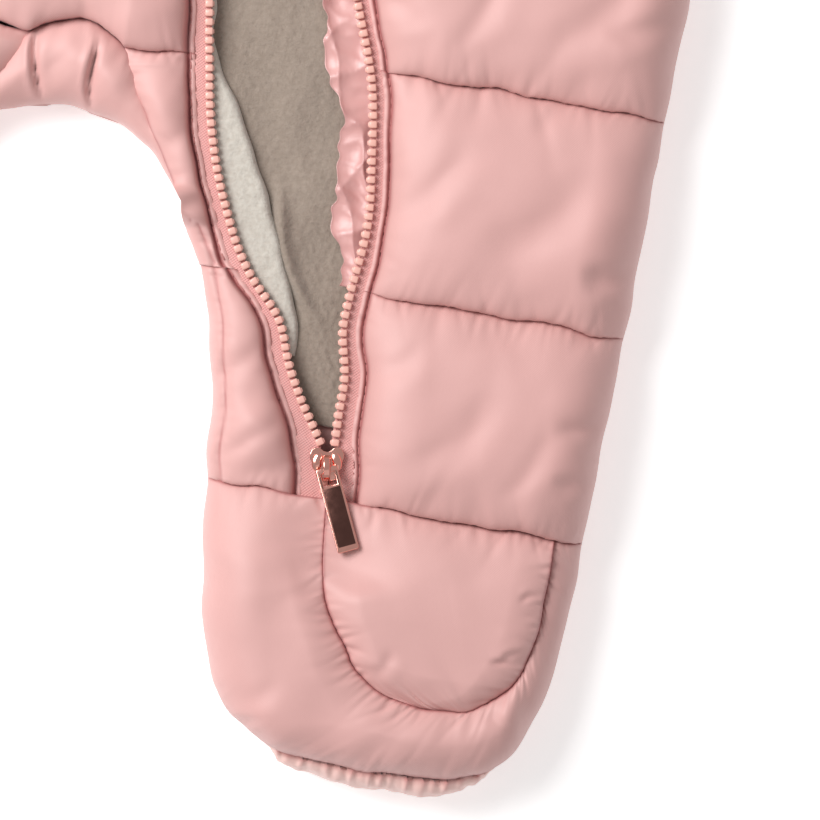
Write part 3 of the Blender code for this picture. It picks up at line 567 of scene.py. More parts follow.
@dataclass(frozen=True)
class FleeceFinish(Finish):
    """A short brushed pile, soft and matt, with a mottled colour that is darker as painted shade in its nap's
    hollows.
    """

    def build(self, shelf: GroupShelf) -> Material:
        """Make the material: colour darkened as painted shade where the nap is low, velvet sheen and a fine
        uneven nap.
        """
        material, tree, shader = new_material(self.name)
        place = object_place(tree)
        nap = add_noise(tree, {"Scale": 650.0, "Detail": 6.0, "Roughness": 0.65}, place)
        comb = add_node(tree, "ShaderNodeMapping", {"Scale": (0.45, 1.5, 1.0)}, {"Vector": place})
        tufts = add_noise(tree, {"Scale": 210.0, "Detail": 3.0}, comb.outputs["Vector"])
        # painted shade: the colour goes towards the darker colour where the nap, which also drives the bump,
        # is low
        shade = add_node(
            tree, "ShaderNodeMapRange", {"From Min": 0.62, "From Max": 0.35, "To Max": 0.45}, {"Value": nap})
        self.add_tone_and_painted_shade(tree, shader, shelf, 160.0, shade.outputs["Result"])
        pile = add_bump(tree, 0.0005, nap, add_bump(tree, 0.0006, tufts))
        tree.links.new(pile, shader.inputs["Normal"])
        set_inputs(shader, {
            "Roughness": 0.95, "Specular IOR Level": 0.15, "Sheen Weight": 0.6, "Sheen Roughness": 0.5,
            "Sheen Tint": (1.0, 0.97, 0.92, 1.0)})
        return material


@dataclass(frozen=True)
class HardFinish(Finish):
    """Moulded plastic or polished metal, with an uneven polish."""

    metallic: float
    rough_low: float
    rough_high: float
    coat: float = 0.0
    scratch_depth: float = 0.00002

    def build(self, shelf: GroupShelf) -> Material:
        """Make the material from the shared groups."""
        material, tree, shader = new_material(self.name)
        self.add_tone_and_painted_shade(tree, shader, shelf, 420.0)
        add_rub(tree, shader, shelf, self.rough_low, self.rough_high, 300.0)
        scratches = add_noise(tree, {"Scale": 1500.0}, object_place(tree))
        tree.links.new(add_bump(tree, self.scratch_depth, scratches), shader.inputs["Normal"])
        set_inputs(shader, {"Metallic": self.metallic, "Coat Weight": self.coat, "Coat Roughness": 0.12})
        return material


@dataclass
class Wardrobe:
    """Every finish of the suit, built once."""

    shell: Material = field(init=False)
    sole_painted_light: Material = field(init=False)
    fleece: Material = field(init=False)
    fleece_light: Material = field(init=False)
    facing: Material = field(init=False)
    tape: Material = field(init=False)
    thread: Material = field(init=False)
    teeth: Material = field(init=False)
    rose: Material = field(init=False)
    mirror: Material = field(init=False)

    def build(self) -> None:
        """Make the shared node groups and all materials."""
        shelf = GroupShelf(cloth_tone_and_painted_shade_group(), weave_group(), rub_group())
        self.shell = ClothFinish(
            "shell_satin_nylon", (0.68, 0.385, 0.362), (0.38, 0.10, 0.10), 0.46, 0.54, 0.25, 0.4,
            9000.0, 0.00002, 55.0, 0.0002, 0.4).build(shelf)
        # painted light: a lighter copy of the shell's satin, standing in for light falling on the sole strip
        self.sole_painted_light = ClothFinish(
            "sole_satin_nylon_painted_light", (0.88, 0.58, 0.53), (0.50, 0.15, 0.14), 0.46, 0.54, 0.25, 0.4,
            9000.0, 0.00002, 55.0, 0.0002, 0.4).build(shelf)
        self.facing = ClothFinish(
            "facing_taffeta", (0.66, 0.35, 0.33), (0.32, 0.08, 0.08), 0.27, 0.37, 0.15, 0.3,
            9000.0, 0.00002, 120.0, 0.0006, 0.7).build(shelf)
        self.tape = ClothFinish(
            "zip_tape_weave", (0.72, 0.36, 0.34), (0.30, 0.08, 0.08), 0.75, 0.9, 0.3, 0.5,
            5200.0, 0.00012, 300.0, 0.0002).build(shelf)
        # painted shade: the thread is darkened to stand in for the shade in the stitch dimples
        self.thread = ClothFinish(
            "sewing_thread_painted_dimple_shade", (0.46, 0.17, 0.16), (0.30, 0.08, 0.08), 0.5, 0.65, 0.2, 0.4,
            14000.0, 0.00003, 300.0, 0.0001).build(shelf)
        # painted shade: the back's lining is a darkened copy of the front lining's fleece, standing in for
        # the shade inside the opening
        self.fleece = FleeceFinish("lining_fleece_painted_shade", (0.33, 0.265, 0.22), (0.23, 0.18, 0.14)).build(shelf)
        self.fleece_light = FleeceFinish(
            "front_lining_fleece", (0.60, 0.56, 0.50), (0.44, 0.38, 0.32)).build(shelf)
        self.teeth = HardFinish(
            "moulded_coral_teeth", (0.80, 0.44, 0.37), (0.45, 0.12, 0.10), 0.0, 0.28, 0.42, 0.25).build(shelf)
        self.rose = HardFinish(
            "polished_rose_metal", (0.96, 0.47, 0.39), (0.5, 0.2, 0.15), 1.0, 0.08, 0.18).build(shelf)
        # painted reflection: rose metal darkened to stand in for the dark surroundings that the pull's faces
        # reflect
        self.mirror = HardFinish(
            "rose_metal_painted_dark_reflection", (0.155, 0.070, 0.058), (0.05, 0.02, 0.02), 1.0, 0.12, 0.2).build(shelf)


# ---------------------------------------------------------------- mesh making
def make_object(
    name: str,
    points: Array,
    faces: list,
    material: Material,
    crease: Array | None = None,
) -> Piece:
    """Make a smooth mesh object from pattern points and its faces.

    Args:
        name: The piece's name.
        points: Points in pattern millimetres, one row each.
        faces: Corner indices of each face.
        material: The piece's finish.
        crease: How much painted shade each point gets, from 0 to 1, kept as the crease attribute.

    Returns:
        The new object, linked to the scene.
    """
    mesh = bpy.data.meshes.new(name)
    mesh.from_pydata(to_frame(points).tolist(), [], faces)
    # painted shade: the mask that darkens the colour in seams and folds
    if crease is not None:
        layer = mesh.attributes.new("crease", "FLOAT", "POINT")
        layer.data.foreach_set("value", np.asarray(crease, dtype=np.float32).ravel())
    mesh.validate()
    mesh.shade_smooth()
    mesh.materials.append(material)
    thing = bpy.data.objects.new(name, mesh)
    bpy.context.scene.collection.objects.link(thing)
    return thing


def grid_faces(rows: int, columns: int, first: int = 0) -> list:
    """Return the quads of a grid of points."""
    index = np.arange(rows * columns).reshape(rows, columns) + first
    quads = np.stack([index[:-1, :-1], index[:-1, 1:], index[1:, 1:], index[1:, :-1]], axis=-1)
    return quads.reshape(-1, 4).tolist()


def plan_turns_left(top: Array) -> bool:
    """Tell whether a grid's rows and columns turn to the left in plan, so that its faces look up."""
    rows, columns = top.shape[0] // 2, top.shape[1] // 2
    a = top[rows, columns + 1, :2] - top[rows, columns, :2]
    b = top[rows + 1, columns, :2] - top[rows, columns, :2]
    return a[0] * b[1] - a[1] * b[0] > 0.0


def closed_wall(
    name: str, upper: Array, lower: Array | float, material: Material, crease: Array | None = None
) -> Piece:
    """Make a closed wall from an upper grid and either a lower grid or one flat level.

    Args:
        name: The piece's name.
        upper: Upper face, rows by columns by 3.
        lower: Lower face in the same order, or the level of a flat one.
        material: The piece's finish.
        crease: Painted shade over the upper face; the lower face gets the same.

    Returns:
        The wall's object.
    """
    rows, columns = upper.shape[:2]
    half = rows * columns
    shades = np.zeros((rows, columns)) if crease is None else crease
    ring = [c for c in range(columns)] + [r * columns + columns - 1 for r in range(1, rows)]
    ring += [(rows - 1) * columns + c for c in range(columns - 2, -1, -1)]
    ring += [r * columns for r in range(rows - 2, 0, -1)]
    if isinstance(lower, float):
        below = upper.reshape(-1, 3)[ring].copy()
        below[:, 2] = lower
        low_ring = [half + k for k in range(len(ring))]
        under = [low_ring[::-1]]
        low_shades = shades.ravel()[ring]
    else:
        below = lower.reshape(-1, 3)
        low_ring = [half + k for k in ring]
        under = [face[::-1] for face in grid_faces(rows, columns, half)]
        low_shades = shades.ravel()
    pairs = list(zip(ring, low_ring))
    sides = [[a, c, d, b] for (a, c), (b, d) in zip(pairs, pairs[1:] + pairs[:1])]
    faces = grid_faces(rows, columns) + under + sides
    if not plan_turns_left(upper):
        faces = [face[::-1] for face in faces]
    points = np.concatenate([upper.reshape(-1, 3), below])
    return make_object(name, points, faces, material, np.concatenate([shades.ravel(), low_shades]))


def register(
    piece: Piece,
    body: str = GARMENT,
    nodes: Sequence[str] = (),
) -> Piece:
    """Ride a piece on its body and nodes, and log it.

    Args:
        piece: The finished piece.
        body: The body that it rides on.
        nodes: CAD nodes that it stands for.

    Returns:
        The same piece.
    """
    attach(piece, body)
    if nodes:
        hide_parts(*nodes)
    LOG.info("%s: %d points on %s", piece.name, len(piece.data.vertices), body)
    return piece


# ---------------------------------------------------------------- relief of padded cloth
@dataclass(frozen=True)
class EdgeRule:
    """How padded cloth rises from one kind of edge."""

    floor: float
    reach: float
    power: float
    pucker: float


class Edge(Enum):
    """Kinds of edge of a padded wall."""

    RIM = EdgeRule(0.2, 24.0, 2.1, 0.0)
    ZIP = EdgeRule(9.2, 24.0, 2.1, 0.8)
    UPPER_SEAM = EdgeRule(13.0, 40.0, 1.65, 1.0)
    LOWER_SEAM = EdgeRule(13.0, 26.0, 2.0, 1.0)
    SIDE_SEAM = EdgeRule(10.5, 16.0, 1.6, 0.9)
    INSET = EdgeRule(18.2, 13.0, 1.45, 1.15)
    SOLE = EdgeRule(9.5, 17.0, 1.8, 1.3)
    HEM = EdgeRule(5.0, 9.0, 2.0, 0.8)


ZIP_BAND = 2.8      # flat sewn band beside the zip, up to its topstitching


@dataclass
class Border:
    """One edge of a wall, or a seam drawn across it, as seen from every point of its grid."""

    kind: Edge
    away: Array
    along: Array
    drawn: float = 0.0
    towards: Edge | None = None
    share: Array | float = 0.0

    def mixed(self, name: str) -> Array | float:
        """Return a value of the edge's rule, mixed with the kind that the edge turns into."""
        own = getattr(self.kind.value, name)
        if self.towards is None:
            return own
        return own + self.share * (getattr(self.towards.value, name) - own)


@dataclass(frozen=True)
class Crease:
    """A crease given from start to end in pattern millimetres; depth below 0 is a ridge."""

    start: tuple[float, float]
    end: tuple[float, float]
    depth: float
    width: float
    lip: float = 0.35
    sharp: bool = False

    def relief(self, x: Array, y: Array) -> Array:
        """Return how far the crease lowers each point."""
        ax, ay = self.start
        dx, dy = self.end[0] - ax, self.end[1] - ay
        length = math.hypot(dx, dy)
        along = ((x - ax) * dx + (y - ay) * dy) / length
        across = ((x - ax) * dy - (y - ay) * dx) / length
        bow = 0.08 * length * np.sin(math.pi * np.clip(along / length, 0.0, 1.0))
        ends = fade(along, -0.15 * length, 0.25 * length) * (1.0 - fade(along, 0.7 * length, 1.15 * length))
        main = np.exp(-(np.abs((across - bow) / self.width) ** (0.9 if self.sharp else 2.0)))
        lip = self.lip * np.exp(-(((across - bow - 1.9 * self.width) / (1.2 * self.width)) ** 2))
        return self.depth * ends * (main - lip)


@dataclass
class Relief:
    """Sculpts a padded wall: loft, rounded edges, puckers along seams, soft waves and creases."""

    seed: int
    loft: float = 25.0
    wave_depth: float = 0.55
    wave_length: float = 58.0
    pucker_step: float = 2.9
    creases: tuple[Crease, ...] = ()

    def puckers(self, border: Border, seed: int) -> Array:
        """Return the fine gathers that run away from a sewn seam.

        Args:
            border: The seam's edge.
            seed: Seed of the gathers' places and sizes.

        Returns:
            How far each point is lowered.
        """
        draw = np.random.default_rng(seed)
        low, high = float(border.along.min()), float(border.along.max())
        near = border.away < 48.0
        along, away = border.along[near], border.away[near]
        total = np.zeros(along.shape)
        count = max(3, int((high - low) / self.pucker_step))
        for k in range(count):
            at = low + (high - low) * (k + draw.uniform(0.1, 0.9)) / count
            long_one = draw.random() < 0.13
            length = draw.uniform(8.0, 18.0) if long_one else draw.uniform(1.6, 4.6)
            width = draw.uniform(1.5, 2.8) if long_one else draw.uniform(0.6, 1.25)
            shares = (0.4, 0.9) if long_one else (0.5, 1.5)
            depth = draw.uniform(*shares) * border.kind.value.pucker
            slant = draw.uniform(-0.5, 0.5)
            across = (along - at - slant * away) / (width * (1.0 + away / 14.0))
            total += depth * np.exp(-across ** 2) * np.exp(-away / length) * (0.6 + 0.4 * away / (away + 1.0))
        result = np.zeros(border.along.shape)
        result[near] = total
        return result

    def sculpt(self, plan: Array, borders: Sequence[Border]) -> tuple[Array, Array]:
        """Raise a plan grid into a padded upper face.

        Args:
            plan: Grid of plan points, rows by columns by 2.
            borders: The wall's edges and quilt lines.

        Returns:
            The grid of points in pattern millimetres, and the painted shade of each along its seams and
            grooves.
        """
        x, y = plan[..., 0].copy(), plan[..., 1].copy()
        height = np.full(x.shape, self.loft)
        height += self.wave_depth * waves(x, y, self.wave_length, self.seed)
        height += 0.12 * self.wave_depth * waves(x, y, 0.4 * self.wave_length, self.seed + 1)
        for crease in self.creases:
            height -= crease.relief(x, y)
        # painted shade: darkens the colour in the seams, the drawn seams and the groove beside the zip band
        shade = np.zeros(x.shape)
        for number, border in enumerate(borders):
            rule = border.kind.value
            away = border.away
            if border.drawn:
                groove = border.drawn * np.exp(-(np.abs(away) / 1.5) ** 1.2)
                side = Border(border.kind, np.abs(away), border.along)
                gathers = 0.7 * self.puckers(side, self.seed * 31 + number * 7 + 5)
                height = np.maximum(height - groove - gathers, 0.2)
                shade = np.maximum(shade, 0.55 * np.exp(-(np.abs(away) / 0.5) ** 1.5))
                continue
            if border.kind is Edge.ZIP:
                away = np.maximum(away - ZIP_BAND, 0.0)
            rise = rounding(away, border.mixed("reach"), border.mixed("power"))
            floor = np.minimum(rule.floor, height) if border.kind is Edge.INSET else border.mixed("floor")
            height = floor + (height - floor) * rise
            if border.towards is not None:
                swap = Border(border.towards, border.away, border.along)
                height -= 1.25 * border.share * self.puckers(swap, self.seed * 31 + number * 7 + 5)
                shade = np.maximum(shade, 0.85 * border.share * np.exp(-(border.away / 0.6) ** 1.5))
            elif rule.pucker:
                gathers = self.puckers(border, self.seed * 31 + number * 7 + 5)
                height -= 1.25 * gathers
                if border.kind is Edge.LOWER_SEAM:
                    y -= 0.35 * gathers
            if border.kind is Edge.ZIP:
                height -= 2.3 * np.exp(-((border.away - ZIP_BAND) / 0.7) ** 2)
                height -= 0.5 * np.exp(-(border.away / 0.5) ** 2)
                # painted shade in the groove at the zip band's topstitching
                shade = np.maximum(shade, np.exp(-((border.away - ZIP_BAND) / 0.8) ** 2))
            elif rule.pucker and border.towards is None:
                shade = np.maximum(shade, 0.85 * np.exp(-(border.away / 0.6) ** 1.5))
            if border.kind is Edge.LOWER_SEAM:
                reach = border.away / 3.2
                y -= 1.5 * reach * np.exp(1.0 - reach)
        height = np.maximum(height, 0.2)
        z = HEIGHTS.middle + HEIGHTS.gap + height
        return np.stack([x, y, z], axis=-1), shade


def graded(length: float, step: float, lean: float = 0.55) -> Array:
    """Return shares from 0 to 1 whose spacing is finer near both ends."""
    count = max(4, int(round(length / step)) + 1)
    even = np.linspace(0.0, 1.0, count)
    return (1.0 - lean) * even + lean * 0.5 * (1.0 - np.cos(math.pi * even))


def drift(points: Array) -> Array:
    """Let plan points wander a little, alike on all pieces, as sewn cloth does.

    Args:
        points: Points in pattern millimetres; their last axis holds x, y and z.

    Returns:
        The moved points.
    """
    moved = points.copy()
    x, y = points[..., 0], points[..., 1]
    moved[..., 0] += 0.35 * waves(x, y, 26.0, 71)
    moved[..., 1] += 0.55 * waves(x, y, 22.0, 72)
    return moved


@dataclass
class PaddedWall:
    """A padded wall, sculpted over a plan grid, lying on the middle level or hanging below it."""

    name: str
    node: str
    relief: Relief
    mirror: bool = False
    back: bool = False
    fill: float = 0.75

    def layout(self) -> tuple[Array, list[Border]]:
        """Return the plan grid and the wall's borders."""
        raise NotImplementedError

    def build(self, material: Material) -> Piece:
        """Sculpt, make and register the wall."""
        plan, borders = self.layout()
        upper, shade = self.relief.sculpt(plan, borders)
        upper = drift(upper)
        if self.mirror:
            upper[..., 0] *= -1.0
        if self.back:
            lower = upper.copy()
            lower[..., 2] = np.maximum(2.0 * HEIGHTS.middle + HEIGHTS.gap - upper[..., 2], 0.0)
            upper[..., 2] = HEIGHTS.middle
            piece = closed_wall(self.name, upper, lower, material, shade)
        else:
            piece = closed_wall(self.name, upper, HEIGHTS.middle + HEIGHTS.gap, material, shade)
        return register(piece, nodes=(self.node,))


@dataclass
class QuiltedPanel(PaddedWall):
    """A wall between two side curves, quilted across at its stations."""

    left: Curve = PATTERN.outer_edge
    right: Curve = PATTERN.torso_side
    stations: tuple[float, ...] = ()
    left_kind: Edge = Edge.ZIP
    right_kind: Edge = Edge.RIM
    low_edge: Curve | None = None
    high_edge: Curve | None = None
    step: float = 1.15
    coarse_step: float = 3.0
    coarse_above: float = 110.0
    seam_inset: float = 0.0
    left_sewn_above: float = 1000.0
    right_sewn_above: float = 1000.0

    def rows(self) -> tuple[Array, Array, Array, Array]:
        """Return each row's y, its distances to the quilt lines below and above, and its baffle's number."""
        ys, below, above, number = [], [], [], []
        for k, (low, high) in enumerate(zip(self.stations, self.stations[1:])):
            step = self.coarse_step if low > self.coarse_above else self.step
            for share in graded(high - low, step)[0 if k == 0 else 1:]:
                ys.append(low + share * (high - low))
                below.append(share * (high - low))
                above.append((1.0 - share) * (high - low))
                number.append(k)
        return np.array(ys), np.array(below), np.array(above), np.array(number)

    def layout(self) -> tuple[Array, list[Border]]:
        """Lay out the grid between the side curves, with the quilt lines and side edges as borders."""
        rows, below, above, number = self.rows()
        a, b = self.left(rows), self.right(rows)
        x, y = spread(rows, a, b, graded(float(np.max(b - a)), self.step, 0.45))
        first, last = self.stations[0], self.stations[-1]
        if self.low_edge is not None:
            weight = np.clip(1.0 - (y - first) / (self.stations[1] - first), 0.0, 1.0)
            y = y + weight * (self.low_edge(x) - first)
        if self.high_edge is not None:
            weight = np.clip((y - self.stations[-2]) / (last - self.stations[-2]), 0.0, 1.0)
            y = y + weight * (self.high_edge(x) - last)
        wide = np.ones(x.shape)
        apart = 400.0
        left_lean = 1.0 / np.hypot(1.0, np.gradient(a, rows))[:, None]
        right_lean = 1.0 / np.hypot(1.0, np.gradient(b, rows))[:, None]
        borders = [
            Border(Edge.LOWER_SEAM, below[:, None] * wide, x + apart * number[:, None]),
            Border(Edge.UPPER_SEAM, above[:, None] * wide, x + apart * (number[:, None] + 1)),
        ]
        sides = (
            (self.left_kind, (x - a[:, None]) * left_lean, self.left_sewn_above),
            (self.right_kind, (b[:, None] - x) * right_lean, self.right_sewn_above),
        )
        beyond = 80.0
        for kind, away, sewn_above in sides:
            sewn = fade(y, sewn_above - 12.0, sewn_above + 4.0)
            if kind is Edge.RIM and float(sewn.max()) > 0.0:
                borders.append(Border(Edge.SIDE_SEAM, away + beyond * (1.0 - sewn), y))
                borders.append(Border(Edge.RIM, away + beyond * sewn, y))
            else:
                borders.append(Border(kind, away, y))
        if self.seam_inset:
            from_seam = (x - a[:, None]) * left_lean - self.seam_inset
            borders.append(Border(Edge.SIDE_SEAM, from_seam + beyond * fade(y, -36.0, -24.0), y, 1.5))
        return np.stack([x, y], axis=-1), borders


@dataclass
class StripPanel(PaddedWall):
    """A wall ruled between two plan lines with matching points."""

    first: Array = field(default_factory=lambda: np.zeros((2, 2)))
    second: Array = field(default_factory=lambda: np.zeros((2, 2)))
    first_kind: Edge = Edge.SIDE_SEAM
    second_kind: Edge = Edge.RIM
    start_kind: Edge | None = None
    end_kind: Edge | None = None
    step: float = 1.2
    lines: tuple[float, ...] = ()
    second_blend: Array | None = None
    blend_kind: Edge = Edge.SOLE

    def layout(self) -> tuple[Array, list[Border]]:
        """Lay out the grid from the first line to the second, with all four sides as borders."""
        span = np.linalg.norm(self.second - self.first, axis=1)
        shares = graded(float(span.max()), self.step, 0.4)
        plan = self.first[None] + shares[:, None, None] * (self.second - self.first)[None]
        middle = plan[len(shares) // 2]
        reach = run_length(middle)
        local = np.clip(self.normal_share(), 0.3, 1.0)
        to_first = shares[:, None] * span[None] * local[None]
        to_second = (1.0 - shares)[:, None] * span[None] * local[None]
        along = np.repeat(reach[None], len(shares), axis=0)
        borders = []
        for line in self.lines:
            away = along - line * reach[-1]
            inside = np.where(away >= 0.0, away, 500.0)
            before = np.where(away < 0.0, -away, 500.0)
            borders.append(Border(Edge.UPPER_SEAM, inside, to_first + 300.0 * line))
            borders.append(Border(Edge.LOWER_SEAM, before, to_first + 300.0 * line))
        if self.start_kind is not None:
            borders.append(Border(self.start_kind, along, to_first))
        if self.end_kind is not None:
            borders.append(Border(self.end_kind, reach[-1] - along, to_first))
        borders.append(Border(self.first_kind, to_first, along))
        if self.second_blend is None:
            borders.append(Border(self.second_kind, to_second, along))
        else:
            share = np.repeat(self.second_blend[None], len(shares), axis=0)
            borders.append(Border(
                self.second_kind, to_second, along, towards=self.blend_kind, share=share))
        return plan, borders

    def normal_share(self) -> Array:
        """Return how squarely each ruling crosses the strip, from 0 to 1."""
        ruling = self.second - self.first
        middle = 0.5 * (self.first + self.second)
        tangent = np.gradient(middle, axis=0)
        cross = np.abs(ruling[:, 0] * tangent[:, 1] - ruling[:, 1] * tangent[:, 0])
        return cross / np.maximum(np.linalg.norm(ruling, axis=1) * np.linalg.norm(tangent, axis=1), 1e-6)


# ---------------------------------------------------------------- sub-assemblies of the shell
BAFFLES = tuple(PATTERN.waist_y + k * PATTERN.quilt_step for k in range(5)) + (PATTERN.shoulder[1],)
LEG_LINES = (PATTERN.ankle_y, PATTERN.knee_y, PATTERN.waist_y)


@dataclass
class Torso:
    """Back wall and the two front walls of the torso."""

    loft: float = 25.0
    back_loft: float = 19.5

    def build(self, wardrobe: Wardrobe) -> dict[str, Piece]:
        """Build the three walls and return them by name."""
        left_creases = (
            Crease((118.0, 74.0), (150.0, 96.0), 1.6, 6.0),
            Crease((175.0, 50.0), (205.0, 92.0), 1.8, 6.5),
            Crease((140.0, 44.0), (152.0, 80.0), 1.1, 4.5),
            Crease((112.0, 60.0), (128.0, 52.0), 1.0, 4.0),
            Crease((196.0, 60.0), (222.0, 72.0), 1.4, 4.0),
        )
        right_creases = (
            Crease((-30.0, 70.0), (8.0, 52.0), 1.6, 6.0),
            Crease((10.0, 60.0), (38.0, 44.0), 1.5, 5.0),
            Crease((-150.0, 60.0), (-120.0, 95.0), 1.8, 6.0),
        )
        walls = (
            QuiltedPanel(
                "front_torso_left_wall", "front_torso_left", Relief(11, self.loft, creases=left_creases),
                left=PATTERN.outer_edge, right=PATTERN.torso_side, stations=BAFFLES,
                low_edge=PATTERN.waist_edge, high_edge=lambda x: PATTERN.neck_edge(x, PATTERN.front_neck_y),
                right_sewn_above=PATTERN.armpit[1]),
            QuiltedPanel(
                "front_torso_right_wall", "front_torso_right", Relief(12, self.loft, creases=right_creases),
                left=lambda y: -PATTERN.torso_side(y), right=PATTERN.inner_edge, stations=BAFFLES,
                left_kind=Edge.RIM, right_kind=Edge.ZIP, low_edge=PATTERN.arch_edge,
                high_edge=lambda x: PATTERN.neck_edge(x, PATTERN.front_neck_y), step=1.5,
                left_sewn_above=PATTERN.armpit[1]),
            QuiltedPanel(
                "back_torso_wall", "back_torso", Relief(13, self.back_loft), back=True,
                left=lambda y: -PATTERN.torso_side(y), right=PATTERN.torso_side, stations=BAFFLES,
                left_kind=Edge.RIM, right_kind=Edge.RIM,
                high_edge=lambda x: PATTERN.neck_edge(x, PATTERN.back_neck_y), step=3.0,
                left_sewn_above=PATTERN.armpit[1], right_sewn_above=PATTERN.armpit[1]),
        )
        return {wall.name: wall.build(wardrobe.shell) for wall in walls}


@dataclass
class Legs:
    """Front and back walls of both legs."""

    loft: float = 25.0
    inner_loft: float = 21.5
    back_loft: float = 19.5

    def build(self, wardrobe: Wardrobe) -> dict[str, Piece]:
        """Build the five walls and return them by name."""
        outer_creases = (
            Crease((128.0, -20.0), (150.0, 8.0), 1.3, 5.0),
            Crease((165.0, -30.0), (200.0, 10.0), 1.6, 8.0),
            Crease((203.0, -31.0), (225.0, -24.0), 3.0, 4.5),
            Crease((203.0, -88.0), (224.0, -80.0), 2.4, 4.0),
            Crease((205.0, -108.0), (224.0, -104.0), 2.2, 3.5),
            Crease((150.0, -112.0), (178.0, -78.0), 1.4, 6.5),
            Crease((134.0, -80.0), (148.0, -62.0), 1.0, 4.5),
            Crease((186.0, -118.0), (200.0, -84.0), 1.0, 4.5),
        )
        inner_creases = (
            Crease((46.0, -34.0), (70.0, -10.0), 2.0, 3.4),
            Crease((50.0, -46.0), (74.0, -30.0), 1.6, 3.0),
            Crease((36.0, -12.0), (54.0, 12.0), 1.4, 3.4),
            Crease((64.0, -96.0), (90.0, -72.0), 1.8, 3.6),
            Crease((76.0, -120.0), (102.0, -98.0), 1.6, 3.6),
            Crease((84.0, -124.0), (110.0, -116.0), 1.2, 3.0),
        )
        walls = (
            QuiltedPanel(
                "front_leg_outer_wall", "front_leg_left_outer", Relief(21, self.loft, creases=outer_creases),
                left=PATTERN.outer_edge, right=PATTERN.outer_side, stations=LEG_LINES,
                high_edge=PATTERN.waist_edge, step=1.0),
            QuiltedPanel(
                "front_leg_inner_wall", "front_leg_left_inner",
                Relief(22, self.inner_loft, 1.1, 30.0, creases=inner_creases),
                left=PATTERN.inseam, right=PATTERN.inner_edge, stations=LEG_LINES,
                left_kind=Edge.RIM, right_kind=Edge.ZIP, left_sewn_above=PATTERN.gusset_seam[-1][1] + 2.0,
                seam_inset=PATTERN.inseam_inset,
                high_edge=PATTERN.waist_edge, step=0.95),
            QuiltedPanel(
                "front_leg_right_wall", "front_leg_right", Relief(23, self.loft), mirror=True,
                left=PATTERN.inseam, right=PATTERN.outer_side, stations=LEG_LINES,
                left_kind=Edge.RIM, right_kind=Edge.RIM, left_sewn_above=PATTERN.gusset_seam[-1][1] + 2.0,
                seam_inset=PATTERN.inseam_inset,
                high_edge=PATTERN.waist_edge, step=1.7),
            self.back_wall("left", False, 24),
            self.back_wall("right", True, 25),
        )
        return {wall.name: wall.build(wardrobe.shell) for wall in walls}

    def back_wall(self, side: str, mirror: bool, seed: int) -> QuiltedPanel:
        """Return the back wall of one leg, which shows beyond the inseam."""
        return QuiltedPanel(
            f"back_leg_{side}_wall", f"back_leg_{side}", Relief(seed, self.back_loft),
            mirror=mirror, back=True,
            left=PATTERN.crotch_side, right=PATTERN.outer_side, stations=LEG_LINES,
            left_kind=Edge.RIM, right_kind=Edge.RIM, step=2.4)


@dataclass
class Gusset(PaddedWall):
    """Crotch gusset between the arch, the two leg seams and the crotch edge."""

    count: int = 110
    step: float = 0.9

    def layout(self) -> tuple[Array, list[Border]]:
        """Lay out the grid from the crotch edge up to the arch."""
        half = list(PATTERN.arch_table) + list(PATTERN.gusset_seam[1:])
        whole = [(-x, y) for x, y in reversed(half[1:])] + half
        hem = [(-x, y) for x, y in reversed(PATTERN.gusset_hem[1:])] + list(PATTERN.gusset_hem)
        upper = resample(whole, self.count)
        lower = resample(hem, self.count)
        span = np.linalg.norm(upper - lower, axis=1)
        shares = graded(float(span.max()), self.step, 0.3)
        plan = lower[None] + shares[:, None, None] * (upper - lower)[None]
        along = np.repeat(run_length(upper)[None], len(shares), axis=0)
        return plan, [
            Border(Edge.SIDE_SEAM, (1.0 - shares)[:, None] * span[None], along),
            Border(Edge.RIM, shares[:, None] * span[None], along),
        ]


